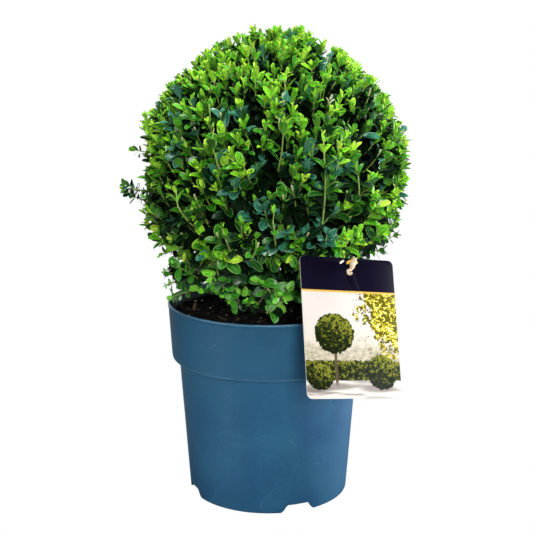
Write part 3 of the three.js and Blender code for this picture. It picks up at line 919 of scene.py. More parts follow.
def growRods():
    # long upright shoots with wide gaps between their pairs, which the shears have missed
    tip, normal = spreadPoints("foliage_ball", lambda p: np.full(len(p), rods["spacing"]), 3)
    up = heightShare(tip)
    side = (np.abs(normal[:, 2] - rods["faces"][0]) < rods["faces"][1]) & (up > rods["lowest"])
    side = side & (dice.random(len(tip)) < rods["share"])
    tip, normal, up = tip[side], normal[side], up[side]
    count = len(tip)
    heading = steer(normal, np.interp(up, *rods["outward"]), rods["upward"], rods["stray"])
    leaf = dice.uniform(*rods["leaf"], count)
    tip = sunkTips(tip, normal, heading, leaf, rods["tipSunk"])
    tip = tip + heading * dice.uniform(-rods["uneven"], rods["uneven"], (count, 1))
    length = lerp(*rods["length"], np.clip(up * 1.6 - 0.35, 0, 1) * dice.uniform(0.7, 1.1, count))
    foot = tip - heading * length[:, None] * 0.98 - normal * rods["footSunk"]
    return dict(growShoots(tip, normal, heading, length), foot=foot, leaf=leaf,
                internode=leaf * dice.uniform(*rods["gap"], count), age=dice.uniform(*rods["age"], count),
                clipped=dice.random(count) < rods["clippedShare"])


rodPlan = dict(ballPlan, pairs=7, openBy=3, closed=20, open=46, missing=0.08, growth=(0.34, 0.6, 0.9, 1.0),
               slender=(0.38, 0.5))

strays = {
    "leaf": (0.0080, 0.0105),
    "length": 0.026,
    "gap": (0.5, 0.7),
    "age": (0.70, 0.95),
    "steering": (0.9, 0.25, 0.22),  # outward, upward and stray
    "stem": (0.00065, 0.00040),
    # the tuft on the left: heights as shares of its own, shares of the way in, and leaf sizes
    "tuft": ((-0.06, 0.45, 0.0080), (0.02, 0.20, 0.0085), (0.10, 0.05, 0.0080), (0.18, 0.30, 0.0080),
             (0.23, 0.02, 0.0070), (0.88, 0.68, 0.0085)),
    # azimuth from the front towards the right, height, and how far they stand proud of the ball
    "straggling": ((94, 0.240, 0.006), (88, 0.228, 0.004), (150, 0.29, 0.005),
                   (205, 0.33, 0.006), (236, 0.27, 0.005), (120, 0.345, 0.004)),
}


def growStrays():
    # the few shoots that stand proud: a tuft on the left and thin single ones round the rest of the ball
    low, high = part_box("stray_shoots")
    tips = []
    for share, inwards, _ in strays["tuft"]:
        deep = lerp(low.y, high.y, dice.uniform(0.2, 0.8))
        tips.append((lerp(low.x, high.x, inwards), deep, lerp(low.z, high.z, share)))
    for azimuth, height, proud in strays["straggling"]:
        turn = math.radians(azimuth)
        outside = Vector((ballMiddle.x + 0.2 * math.sin(turn), ballMiddle.y - 0.2 * math.cos(turn), height))
        inwards = Vector((ballMiddle.x, ballMiddle.y, height)) - outside
        hit = massTrees["foliage_ball"].ray_cast(outside, inwards)[0]
        tips.append(tuple(hit + (outside - hit).normalized() * proud))
    tip = np.array(tips)
    count = len(tip)
    normal = unit((tip - np.array(ballMiddle)) * np.array([1, 1, 0.3]))
    heading = steer(normal, *strays["steering"])
    shoots = growShoots(tip, normal, heading, np.full(count, strays["length"]))
    leaf = dice.uniform(*strays["leaf"], count)
    leaf[:len(strays["tuft"])] = [size for _, _, size in strays["tuft"]]
    return dict(shoots, leaf=leaf, internode=leaf * dice.uniform(*strays["gap"], count),
                age=dice.uniform(*strays["age"], count))


strayPlan = dict(ballPlan, pairs=6, openBy=2, closed=24, open=58, slender=(0.56, 0.68), growth=(0.8, 1, 1, 1),
                 fold=16)

sprayForm = {
    "spacing": 0.0104,
    "leaf": (0.0118, 0.0160),
    "gap": (0.42, 0.60),
    "length": (0.030, 0.048),
    "age": (0.25, 0.36),  # its middle and its scatter
    "outward": 0.9,
    "upward": (-0.1, 0.5),
    "stray": 0.22,
    "tipSunk": 0.45,  # of a leaf
    "stem": (0.00090, 0.00055),
    "apart": 0.0022,  # no shoot comes this near to the next mass
    "thinning": ((0.188, 0.232), (0.22, 1.0)),  # between these heights, the share of the shoots that grow
    "thinner": {"lower_spray_left": 0.5, "lower_spray_front_left": 0.8},
    # small bright shoots low down over the soil, across and up
    "rosettes": ((-0.006, 0.203), (-0.018, 0.198), (0.030, 0.204), (-0.039, 0.198), (-0.048, 0.205),
                 (-0.071, 0.206), (-0.105, 0.226), (-0.102, 0.211), (-0.099, 0.199), (-0.094, 0.190),
                 (0.089, 0.243), (0.095, 0.238), (0.083, 0.236), (0.078, 0.244), (0.098, 0.248),
                 (0.091, 0.250)),
    "rosetteRing": (0.1, 0.064),  # half width and depth of the oval that they stand on
    "rosetteLeaf": (0.0095, 0.0130),
    "rosetteLength": 0.020,
    "rosetteAge": 0.1,
    "hangingLeftOf": -0.09,
}


def sprayShoots(mass, tip, normal, heading, leaf, length, age):
    count = len(tip)
    tip = sunkTips(tip, normal, heading, leaf, sprayForm["tipSunk"])
    shoots = growShoots(tip, normal, heading, length)
    return dict(shoots, leaf=leaf, internode=leaf * dice.uniform(*sprayForm["gap"], count),
                age=np.clip(age, 0, 1), mass=mass,
                level=unit(np.cross(heading, np.array([0, 0, 1.0])) + dice.normal(0, 0.25, (count, 3))))


def growSprays():
    form = sprayForm
    found, middles = [], []
    for i, name in enumerate(sprayNames):
        low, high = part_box(name)
        middles.append(np.array((low + high) / 2))
        tip, normal = spreadPoints(name, lambda p: np.full(len(p), form["spacing"]))
        share = np.interp(tip[:, 2], *form["thinning"]) * form["thinner"].get(name, 1.0)
        grows = dice.random(len(tip)) < share
        others = [tree for other, tree in massTrees.items() if other != name]
        keep = [all(tree.find_nearest(Vector(p))[3] > form["apart"] for tree in others) for p in tip]
        tip, normal = tip[keep & grows], normal[keep & grows]
        count = len(tip)
        outward = unit((tip - middles[i]) * np.array([1, 1, 0.6]))
        upward = dice.uniform(*form["upward"], count)
        heading = steer(unit(normal + outward), form["outward"], upward, form["stray"])
        leaf = dice.uniform(*form["leaf"], count)
        found.append(sprayShoots(np.full(count, i), tip, normal, heading, leaf,
                                 dice.uniform(*form["length"], count), dice.normal(*form["age"], count)))
    across, up = np.array(form["rosettes"]).T
    half, deep = form["rosetteRing"]
    tip = np.stack([across, -deep * np.sqrt(np.clip(1 - (across / half) ** 2, 0, 1)), up], axis=1)
    count = len(tip)
    mass = np.linalg.norm(tip[:, None] - np.array(middles)[None], axis=2).argmin(axis=1)
    normal = unit(tip * np.array([1, 1, 0]) + np.array([0, 0, 0.02]))
    leaf = dice.uniform(*form["rosetteLeaf"], count)
    rising = np.where(across < form["hangingLeftOf"], -0.8, 0.25)
    heading = unit(normal + np.array([0, 0, 1.0]) * rising[:, None])
    found.append(sprayShoots(mass, tip, normal, heading, leaf, np.full(count, form["rosetteLength"]),
                             np.full(count, form["rosetteAge"])))
    return gathered(found)


sprayPlan = dict(ballPlan, pairs=6, openBy=2.5, closed=34, open=62, turnToLight=0.8, flat=0.8,
                 growth=(0.34, 0.64, 0.95, 1.05), slender=(0.56, 0.66), fold=20, curl=0.5, missing=0.02)

inner = {
    "perBough": 12,
    "length": (0.014, 0.026),
    "leaf": (0.0105, 0.0150),
    "gap": (0.4, 0.55),
    "age": (0.95, 0.2),
    "stem": (0.00080, 0.00050),
}


def growInner():
    # short shoots in the shade between the sprays, along the low boughs
    feet, ways = [], []
    for name in lowerBoughNames:
        foot, tip, heading = limbEnds(name)
        share = dice.uniform(0.25, 1.15, (inner["perBough"], 1))
        feet.append(foot + (tip - foot) * share + np.array([0, 0, 0.004]))
        ways.append(np.repeat(heading[None], inner["perBough"], axis=0))
    foot, way = np.concatenate(feet), np.concatenate(ways)
    count = len(foot)
    heading = unit(way * 0.35 + np.array([0, 0, 0.75]) + dice.normal(0, 0.45, (count, 3)))
    length = dice.uniform(*inner["length"], count)
    shoots = growShoots(foot + heading * length[:, None], heading, heading, length)
    leaf = dice.uniform(*inner["leaf"], count)
    return dict(shoots, leaf=leaf, internode=leaf * dice.uniform(*inner["gap"], count),
                age=np.clip(dice.normal(*inner["age"], count), 0.5, 1.3))


innerPlan = dict(ballPlan, pairs=5, openBy=1.5, closed=30, open=65, turnToLight=0.6, slender=(0.56, 0.62))


# boughs and twigs between the limbs of the frame and the shoots

def limbEnds(node):
    # A limb's foot and tip, and the way it points, from the node's own mesh.
    places = nodePlaces(node)
    order = (places - places.mean(0)) @ np.linalg.svd(places - places.mean(0), full_matrices=False)[2][0]
    ends = [places[order < np.percentile(order, 12)].mean(0), places[order > np.percentile(order, 88)].mean(0)]
    ends.sort(key=lambda p: np.hypot(p[0], p[1]) + p[2] * 0.5)
    return ends[0], ends[1], unit(ends[1] - ends[0])


twigForm = {
    "thin": 0.00062,
    "thicken": 0.23,  # a limb's radius grows by this power of the shoots that it feeds
    "stations": 5,
    "forkAt": (0.55, 0.42),  # share of the way to the shoots, for few of them and for many
    "many": 12,
    "forkStray": (0.08, 0.07),  # along and aside
    "parting": (0.38, 0.62),
    "rootSunk": 0.003,
}


def branchOut(start, heading, feet, limbs):
    # A limb heads for the middle of the shoots it feeds, forks there, and shares them out.
    form, count = twigForm, len(feet)
    radius = form["thin"] * count ** form["thicken"]
    if count == 1:
        limbs.append((start, start + heading * np.linalg.norm(feet[0] - start) * 0.4, feet[0], radius, radius))
        return
    middle = feet.mean(0)
    alongStray, asideStray = form["forkStray"]
    share = form["forkAt"][count > form["many"]] + dice.uniform(-alongStray, alongStray)
    fork = start + (middle - start) * share
    fork = fork + dice.normal(0, asideStray, 3) * np.linalg.norm(middle - start)
    knee = start + heading * np.linalg.norm(fork - start) * 0.45
    limbs.append((start, knee, fork, radius, form["thin"] * (count * 0.6) ** form["thicken"]))
    axis = np.linalg.svd(feet - middle, full_matrices=False)[2][0]
    order = np.argsort((feet - middle) @ axis)
    cut = int(np.clip(round(count * dice.uniform(*form["parting"])), 1, count - 1))
    for side in (order[:cut], order[cut:]):
        branchOut(fork, unit(fork - knee), feet[side], limbs)


def growTwigs(ballFeet, lowShoots):
    boughs = [limbEnds(name) for name in upperBoughNames]
    tips = np.array([tip for _, tip, _ in boughs])
    bearing = np.arctan2(ballFeet[:, 1] - ballMiddle.y, ballFeet[:, 0] - ballMiddle.x)
    own = np.arctan2(tips[:, 1], tips[:, 0])
    gap = np.abs((bearing[:, None] - own[None, :] + math.pi) % (2 * math.pi) - math.pi)
    nearest = gap.argmin(axis=1)
    fed = [ballFeet[nearest == i] for i in range(len(boughs))]
    boughs += [limbEnds(name.replace("spray", "bough")) for name in sprayNames]
    fed += [lowShoots["foot"][lowShoots["mass"] == i] for i in range(len(sprayNames))]
    limbs = []
    for (_, tip, heading), feet in zip(boughs, fed):
        branchOut(tip - heading * twigForm["rootSunk"], heading, feet, limbs)
    return limbs


def limbArrays(limbs):
    starts, knees, ends, thick, thin = (np.array(part) for part in zip(*limbs))
    t = np.linspace(0, 1, twigForm["stations"])[None, :, None]
    paths = bezier(starts[:, None], knees[:, None], ends[:, None], t)
    return paths, thick[:, None] + (thin - thick)[:, None] * t[..., 0]


def shootStems(shoots, radius, start=0.0, end=0.97, stations=6):
    t = np.linspace(start, end, stations)[None, :, None]
    paths = bezier(shoots["foot"][:, None], shoots["knee"][:, None], shoots["tip"][:, None], t)
    return paths, np.linspace(*radius, stations)[None, :] * np.ones((len(paths), 1))


def leaderStems(shoots):
    paths, radii = shootStems(shoots, leaders["stem"])
    stray = dice.normal(0, leaders["kink"], paths.shape)
    stray[:, 0] = 0
    return paths + stray, radii


def strandMaterial(name, colours, roughness, grainForm, edges, relief):
    # long grain in two colours for twigs, stems and straw
    material, tree, shader = newMaterial(name, colours[0], roughness)
    streaks = grain(tree, mapPlace(tree), *grainForm)
    first, second = ((*colour, 1) for colour in colours)
    paint(tree, shader, blend(tree, span(tree, streaks, *edges), first, second), streaks, *relief)
    return material


def stemMaterial(name, colour, other, roughness):
    grainForm, edges, relief = (6.0, 3.0, (3.0, 9.0, 1.0)), (0.35, 0.7), (0.3, 0.0003)
    return strandMaterial(name, (colour, other), roughness, grainForm, edges, relief)


def clearOfLabel(leaves):
    # drops the leaves that would lie in front of the label or grow through it
    turn = np.array(labelTurn().to_3x3())
    kept = np.ones(len(leaves["length"]), bool)
    for reach in (0.0, 0.5, 1.0):
        place = leaves["place"] + leaves["along"] * (leaves["length"] * reach)[:, None]
        own = (place - np.array(labelForm["middle"])) @ turn
        beside, above, behind = labelForm["clear"]
        side = np.abs(own[:, 0]) < labelForm["width"] / 2 + beside
        high = np.abs(own[:, 2]) < labelForm["height"] / 2 + above
        kept &= ~(side & high & (own[:, 1] < behind))
    return chosen(leaves, kept)


def makeLeaves(ballLeaves, sprayLeaves):
    perPiece = 9800
    replaced = ["foliage_ball", "stray_shoots", *sprayNames]
    for i, name in enumerate(kindNames):
        low = name.startswith("low")
        source = sprayLeaves if low else ballLeaves
        leaves = chosen(source, source["kind"] == i)
        count = len(leaves["length"])
        if not count:
            continue
        pieces = math.ceil(count / perPiece)
        material = leafMaterial(name)
        for part in range(pieces):
            share = {key: value[part::pieces] for key, value in leaves.items()}
            piece = makeLeafPiece(name + str(part + 1) if part else name, share, 1.0 if low else 1.15)
            dress(piece, material, replaced)
        print("  ", name, count)


def makeFoliage():
    ballShoots, rodShoots, strayShoots, lowShoots = growBall(), growRods(), growStrays(), growSprays()
    innerShoots, leaderShoots = growInner(), growLeaders()
    print("shoots:", len(ballShoots["tip"]), "on the ball,", len(rodShoots["tip"]), "long,",
          len(strayShoots["tip"]), "stray,", len(lowShoots["tip"]), "below it")
    ballLeaves = gathered([sheared(pairLeaves(ballShoots, ballPlan), ball["shearReach"]),
                           sheared(pairLeaves(rodShoots, rodPlan), ball["shearReach"] * 2),
                           pairLeaves(strayShoots, strayPlan), pairLeaves(innerShoots, innerPlan),
                           pairLeaves(leaderShoots, leaderPlan)])
    ballLeaves = shadeDeepLeaves(ballLeaves)
    sprayLeaves = shadeDeepLeaves(pairLeaves(lowShoots, sprayPlan))
    # the six ages of leaf are three on the lower boughs
    ladder = np.where(sprayLeaves["kind"] < 2, 0, np.where(sprayLeaves["kind"] < 4, 1, 2))
    inShade = sprayLeaves["kind"] == shadeKind
    ballLeaves = gathered([ballLeaves, chosen(sprayLeaves, inShade)])
    sprayLeaves["kind"] = kindNames.index("lowBrightLeaves") + ladder
    makeLeaves(clearOfLabel(ballLeaves), clearOfLabel(chosen(sprayLeaves, ~inShade)))

    stems = [shootStems(ballShoots, ball["stem"]), shootStems(lowShoots, sprayForm["stem"]),
             leaderStems(leaderShoots), shootStems(rodShoots, rods["stem"]),
             shootStems(strayShoots, strays["stem"]), shootStems(innerShoots, inner["stem"])]
    green = makeTubes("shootStems", *(np.concatenate(part) for part in zip(*stems)), 5)
    dress(green, stemMaterial("greenStem", (0.28, 0.42, 0.075), (0.15, 0.26, 0.045), 0.5), [])
    cut = gathered([{key: shoots[key][shoots["clipped"]] for key in ("foot", "knee", "tip")}
                    for shoots in (ballShoots, rodShoots, leaderShoots)])
    stubs = makeTubes("cutStubs", *shootStems(cut, ball["stem"][:1] * 2, 0.86, 1.0, 4), 6)
    dress(stubs, stemMaterial("cutStem", (0.62, 0.64, 0.34), (0.46, 0.52, 0.20), 0.6), [])
    fed = [shoots["foot"] for shoots in (ballShoots, rodShoots, strayShoots, leaderShoots)]
    limbs = growTwigs(np.concatenate(fed), lowShoots)
    twigs = makeTubes("twigs", *limbArrays(limbs), 4)
    dress(twigs, stemMaterial("twigBark", (0.20, 0.15, 0.085), (0.10, 0.075, 0.045), 0.8), [])
    print("twigs:", len(limbs), "limbs,", len(twigs.data.polygons), "faces")


# pot

potLow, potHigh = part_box("pot")
potForm = {
    "sides": 128,
    "rim": (potHigh.x - potLow.x) / 2,
    "height": potHigh.z,
    "collarFoot": 0.130,  # the collar runs from here up to the rim
    "collarFootRadius": 0.0914,
    "bodyTop": 0.0848,
    "foot": 0.0756,
    "wall": 0.0018,
    "footWall": 0.0024,
    "floorUnderside": 0.009,
    "floorThickness": 0.002,
    # roundings inside and outside the foot, under the collar, and outside and inside the rim
    "rounds": (0.0004, 0.0006, 0.0008, 0.0007, 0.0006),
    "lip": 0.003,
    "lipProud": 0.0005,
    "collarEdge": 0.0025,
    "notchCount": 4,
    "notchWidth": 0.029,
    "notchHeight": 0.0075,
    # its width, from its top down
    "notchFlare": ((1, 0.66), (0.75, 0.80), (0.5, 0.87), (0.25, 0.96), (0, 1.12)),
    "notchFirst": 21,  # degrees from the front towards the right
    "drainCount": 8,
    "drainRadius": 0.0045,
    "drainRing": 0.056,
}


def bodyRadius(z):
    return lerp(potForm["foot"], potForm["bodyTop"], z / potForm["collarFoot"])


def collarRadius(z):
    rise = (z - potForm["collarFoot"]) / (potForm["height"] - potForm["collarFoot"])
    return lerp(potForm["collarFootRadius"], potForm["rim"] - potForm["lipProud"], rise)


def arc(radius, z, size, start, end, steps=5):
    # a quarter round in the profile, by degrees round its own centre
    turns = np.radians(np.linspace(start, end, steps))
    return [(radius + size * math.cos(turn), z + size * math.sin(turn)) for turn in turns]


def potProfile():
    form = potForm
    z0, z1, wall = form["collarFoot"], form["height"], form["wall"]
    floorTop = form["floorUnderside"] + form["floorThickness"]
    lipFoot, edge = z1 - form["lip"], form["collarEdge"]
    innerFoot, outerFoot, under, outerRim, innerRim = form["rounds"]
    points = [(form["foot"] - form["footWall"], form["floorUnderside"])]
    points += arc(form["foot"] - form["footWall"] + innerFoot, innerFoot, innerFoot, 180, 270, 3)
    points += arc(form["foot"] - outerFoot, outerFoot, outerFoot, 270, 362, 4)
    points += [(bodyRadius(z), z) for z in np.linspace(0.004, z0 - under * 1.5, 10)]
    points += arc(bodyRadius(z0) + under, z0 - under, under, 176, 90, 4)
    points += arc(collarRadius(z0) - edge, z0 + edge, edge, 270, 356, 7)
    points += [(collarRadius(z), z) for z in np.linspace(z0 + 0.006, lipFoot - 0.0012, 6)]
    points += [(collarRadius(lipFoot), lipFoot - 0.0003), (form["rim"] - 0.0001, lipFoot + 0.0003)]
    points += arc(form["rim"] - outerRim, z1 - outerRim, outerRim, 0, 90, 5)
    points += arc(collarRadius(z1) - wall + innerRim, z1 - innerRim, innerRim, 95, 180, 4)
    ledge = z0 + wall
    points += [(collarRadius(z) - wall, z) for z in np.linspace(z1 - 0.004, ledge + 0.004, 4)]
    points += arc(collarRadius(ledge) - wall - edge, ledge + edge, edge, 0, -90, 4)
    points += [(bodyRadius(ledge) - wall, ledge), (bodyRadius(floorTop) - wall, floorTop)]
    return points


def selectWhere(piece, test):
    bpy.ops.object.mode_set(mode="OBJECT")
    for vertex in piece.data.vertices:
        vertex.select = test(vertex.co)
    for edge in piece.data.edges:
        edge.select = all(piece.data.vertices[i].select for i in edge.vertices)
    for face in piece.data.polygons:
        face.select = all(piece.data.vertices[i].select for i in face.vertices)
    bpy.ops.object.mode_set(mode="EDIT")


def turnProfile(name, profile, sides):
    # a ring drawn out step by step along a profile of (radius, z), and closed across at both ends
    deselect()
    radius, z = profile[0]
    bpy.ops.mesh.primitive_circle_add(vertices=sides, radius=radius, location=(0, 0, z))
    piece = bpy.context.object
    piece.name = name
    applyPlace(piece)
    bpy.ops.object.mode_set(mode="EDIT")
    bpy.ops.mesh.select_mode(type="EDGE")
    bpy.ops.mesh.select_all(action="SELECT")
    bpy.ops.mesh.edge_face_add()
    bpy.ops.mesh.select_mode(type="EDGE")
    for nextRadius, nextZ in profile[1:]:
        bpy.ops.mesh.extrude_edges_move(TRANSFORM_OT_translate={"value": (0, 0, nextZ - z)})
        scale = nextRadius / radius
        bpy.ops.transform.resize(value=(scale, scale, 1), center_override=(0, 0, nextZ))
        radius, z = nextRadius, nextZ
    bpy.ops.mesh.edge_face_add()
    bpy.ops.object.mode_set(mode="OBJECT")
    mendMesh(piece)
    return piece


def ringOf(count, first, make):
    return [make(math.radians(first + i * 360 / count)) for i in range(count)]


def notchCutter(turn):
    # a bar through the foot ring whose ends flare out smoothly towards the ground
    form = potForm
    deselect()
    bpy.ops.mesh.primitive_cube_add(size=1)
    bar = bpy.context.object
    bar.scale = (form["notchWidth"], 0.014, form["notchHeight"] * 2)
    applyPlace(bar)
    bpy.ops.object.mode_set(mode="EDIT")
    bpy.ops.mesh.select_all(action="SELECT")
    bpy.ops.mesh.subdivide(number_cuts=7)
    for share, flare in form["notchFlare"]:
        selectWhere(bar, lambda p: abs(p.z - share * form["notchHeight"]) < 0.0002)
        bpy.ops.transform.resize(value=(flare, 1, 1), center_override=(0, 0, 0))
    selectWhere(bar, lambda p: p.z < -0.0002)
    bpy.ops.transform.resize(value=(form["notchFlare"][-1][1], 1, 1), center_override=(0, 0, 0))
    bpy.ops.object.mode_set(mode="OBJECT")
    bar.location = (form["foot"] * math.sin(turn), -form["foot"] * math.cos(turn), 0)
    bar.rotation_euler = (0, 0, turn)
    applyPlace(bar)
    return bar


def drainCutter(turn):
    form = potForm
    place = (form["drainRing"] * math.sin(turn), -form["drainRing"] * math.cos(turn), form["floorUnderside"])
    deselect()
    bpy.ops.mesh.primitive_cylinder_add(vertices=24, radius=form["drainRadius"], depth=0.008, location=place)
    hole = bpy.context.object
    applyPlace(hole)
    return hole


def cutWith(piece, cutters):
    cutter = joined(cutters, "cutter")
    applyModifier(piece, "BOOLEAN", operation="DIFFERENCE", object=cutter, solver="EXACT")
    bpy.data.objects.remove(cutter)


def makePot():
    form = potForm
    pot = turnProfile("nurseryPot", potProfile(), form["sides"])
    cutWith(pot, ringOf(form["notchCount"], form["notchFirst"], notchCutter)
            + ringOf(form["drainCount"], 0, drainCutter))
    smooth(pot, 40)
    dress(pot, potMaterial(), ["pot"])
    print("pot:", len(pot.data.polygons), "faces")


potFinish = {
    "blue": (0.0108, 0.0690, 0.158),
    "paleBlue": (0.0215, 0.115, 0.208),
    "dust": (0.066, 0.175, 0.285),
    "edge": (0.105, 0.235, 0.360),  # pale: the scuffs' wear, and a painted highlight along the rim and the collar's edge
    "insideDark": (0.006, 0.007, 0.008),
    "scuffs": 0.34,
    "roughness": 0.44,
    "gloss": 0.32,
}


def potMaterial():
    finish, rim, foot = potFinish, potForm["height"], potForm["collarFoot"]
    paleBlue, dust, paleWearAndHighlight, insideDark = ((*finish[key], 1) for key in ("paleBlue", "dust", "edge", "insideDark"))
    material, tree, shader = newMaterial("potPlastic", finish["blue"], finish["roughness"], finish["gloss"])
    where = objectPlace(tree)
    x, y, up = put(tree, "ShaderNodeSeparateXYZ", {0: where}).outputs
    colour, mask, specks = mottled(tree, where, 22.0, 260.0, 0.70, finish["blue"], finish["paleBlue"])
    # long faint rubs that run round the wall, and a paler tone over the upper half
    rubs = grain(tree, where, 60.0, 3.0, (1.0, 1.0, 9.0))
    rubMask = span(tree, rubs, 0.60, 0.78)
    paleUpperHalf = span(tree, up, 0.07, 0.14, 0.0, 0.50)
    # a few thin curved scuffs
    course = calc(tree, "ABSOLUTE", calc(tree, "SUBTRACT", grain(tree, where, 26.0, 1.0), 0.5))
    scuffs = calc(tree, "MULTIPLY", span(tree, course, 0.002, 0.007, 1.0, 0.0),
                  span(tree, grain(tree, where, 48.0, 1.0), 0.56, 0.66, 0.0, finish["scuffs"]))
    # painted highlight: a pale line along the collar's edge and the rim, where their rounding catches the light
    edge = calc(tree, "MULTIPLY", span(tree, up, foot, foot + 0.0006),
                span(tree, up, foot + 0.0012, foot + 0.003, 0.7, 0.0))
    edge = calc(tree, "MAXIMUM", edge, span(tree, up, rim - 0.0016, rim - 0.0004, 0.0, 0.8))
    edge = calc(tree, "MULTIPLY", edge, span(tree, rubs, 0.35, 0.6, 0.45, 1.0))
    # the inside is near-black up to just under the rim
    reach = calc(tree, "SQRT", calc(tree, "MULTIPLY_ADD", x, x, calc(tree, "MULTIPLY", y, y)))
    lean = (potForm["rim"] - potForm["collarFootRadius"]) / (rim - foot)
    inside = calc(tree, "MULTIPLY_ADD", calc(tree, "SUBTRACT", up, foot), -lean, reach)
    wallEdge = potForm["collarFootRadius"] - potForm["wall"] * 0.6
    inside = span(tree, inside, wallEdge - 0.0003, wallEdge, 1.0, 0.0)
    inside = calc(tree, "MULTIPLY", inside, span(tree, up, foot + 0.010, foot + 0.012))
    darkInsideTop = span(tree, calc(tree, "MULTIPLY_ADD", rubs, 0.004, up), rim - 0.002, rim, 0.94, 0.3)
    darkInside = calc(tree, "MULTIPLY", inside, darkInsideTop)
    for share, layer in ((calc(tree, "MULTIPLY", rubMask, 0.22), dust), (scuffs, paleWearAndHighlight), (paleUpperHalf, paleBlue),
                         (edge, paleWearAndHighlight), (darkInside, insideDark)):
        colour = blend(tree, share, colour, layer)
    rough = calc(tree, "MULTIPLY_ADD", mask, 0.10, finish["roughness"] - 0.04)
    rough = calc(tree, "MULTIPLY_ADD", rubMask, 0.12, rough)
    tree.links.new(calc(tree, "MULTIPLY_ADD", darkInside, 0.45, rough), shader.inputs["Roughness"])
    height = calc(tree, "MULTIPLY_ADD", specks, 0.3, calc(tree, "MULTIPLY", rubs, 0.8))
    paint(tree, shader, colour, height, 0.12, 0.0006)
    return material


# potting soil

soilLow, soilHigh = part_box("soil")
soilForm = {
    "radius": soilHigh.x - 0.0004,
    "top": 0.1712,
    "sides": 168,
    "rings": 52,
    "gap": 0.0025,  # between the soil's sides and the pot's radius
    "lumps": ((0.022, 0.0042, "CLOUDS"), (0.0045, 0.0022, "CLOUDS")),  # size, height and kind
    "topSkin": (0.35, 0.004),  # share of the lumps' height at the wall, and how far from it they are whole
    "peat": ((0.0016, 0.0019, 0.0022), (0.0055, 0.0053, 0.0055)),
    "crumbRing": 0.0035,  # how far from the wall the crumbs stay
}
crumbKinds = {
    # how many, the smallest and the largest radius, and two colours
    "soilCrumbs": (1500, 0.0005, 0.0021, (0.0022, 0.0024, 0.0026), (0.0100, 0.0094, 0.0095)),
    "barkBits": (120, 0.0008, 0.0022, (0.014, 0.012, 0.010), (0.042, 0.034, 0.027)),
    "paleGrit": (170, 0.0005, 0.0017, (0.40, 0.36, 0.30), (0.62, 0.58, 0.50)),
}


def roughen(piece, layers, **settings):
    # relief in the mesh itself, one layer of lumps after another
    for size, strength, kind in layers:
        texture = bpy.data.textures.new("relief", kind)
        texture.noise_scale = size
        applyModifier(piece, "DISPLACE", texture=texture, texture_coords="LOCAL", strength=strength, **settings)


def soilMaterial(name, dark, light):
    material, tree, shader = newMaterial(name, dark, 0.95, 0.12)
    colour, _, specks = mottled(tree, objectPlace(tree), 90.0, 900.0, 0.9, dark, light)
    paint(tree, shader, colour, specks, 0.7, 0.0012)
    return material


def makeSoil():
    form, floor, foot = soilForm, soilLow.z, potForm["collarFoot"]
    radius, step = form["radius"], form["radius"] / form["rings"]
    profile = [(bodyRadius(floor) - form["gap"], floor), (bodyRadius(foot) - form["gap"], foot),
               (collarRadius(foot + 0.004) - form["gap"], foot + 0.006)]
    profile += [(radius - step * i, form["top"]) for i in range(form["rings"])]
    soil = turnProfile("pottingSoil", profile, form["sides"])
    top = soil.vertex_groups.new(name="top")
    for vertex in soil.data.vertices:
        if vertex.co.z > form["top"] - 0.001:
            away = min(1.0, (radius - math.hypot(vertex.co.x, vertex.co.y)) / form["topSkin"][1])
            top.add([vertex.index], lerp(form["topSkin"][0], 1.0, away), "REPLACE")
    roughen(soil, form["lumps"], direction="Z", mid_level=0.62, vertex_group="top")
    smooth(soil, 60)
    dress(soil, soilMaterial("peat", *form["peat"]), ["soil"])
    return surfaceOf(soil)


def surfaceOf(piece):
    bpy.context.view_layer.update()
    return BVHTree.FromObject(piece, bpy.context.evaluated_depsgraph_get())


def crumbPoints(count, surface, inner=0.0):
    # places on the soil, with the ground's height under each
    turn = dice.uniform(0, 2 * math.pi, count)
    reach = np.sqrt(dice.uniform(inner, 1, count)) * (soilForm["radius"] - soilForm["crumbRing"])
    points = np.stack([reach * np.cos(turn), reach * np.sin(turn), np.zeros(count)], axis=1)
    for point in points:
        hit = surface.ray_cast(Vector((point[0], point[1], 0.2)), Vector((0, 0, -1)))[0]
        point[2] = hit.z if hit else soilForm["top"]
    return points


def lumpParts(points, size, seed):
    # the same lump, copied, turned and stretched for every place
    deselect()
    bpy.ops.mesh.primitive_ico_sphere_add(subdivisions=1, radius=1)
    model = bpy.context.object
    shape = np.array([v.co for v in model.data.vertices])
    shape = shape * (1 + 0.35 * unevenAt(shape, 0.8, seed))[:, None]
    faces = [tuple(face.vertices) for face in model.data.polygons]
    bpy.data.objects.remove(model)
    count = len(points)
    stretch = dice.uniform(0.55, 1.25, (count, 1, 3)) * size[:, None, None]
    turns = unit(dice.normal(0, 1, (count, 3)))
    across = unit(np.cross(turns, unit(dice.normal(0, 1, (count, 3)))))
    spin = np.stack([turns, across, np.cross(turns, across)], axis=1)
    parts = points[:, None, :] + np.einsum("nvi,nij->nvj", shape[None] * stretch, spin)
    return parts, faces


def makeCrumbs(surface):
    for name, (count, low, high, dark, light) in crumbKinds.items():
        points = crumbPoints(count, surface)
        parts, faces = lumpParts(points, low + (high - low) * dice.random(count) ** 2.2, len(name))
        dress(meshFromParts(name, parts, faces), soilMaterial(name + "Finish", dark, light), [])


chipForm = {
    "count": 55,
    "lift": 0.0012,
    "length": (0.004, 0.011),
    "slender": (0.16, 0.42),
    "fold": (0.2, 0.3),
    "curl": (0, 0.5),
    "tilt": (0.16, 0.28),  # how unevenly they lie, along and across
}


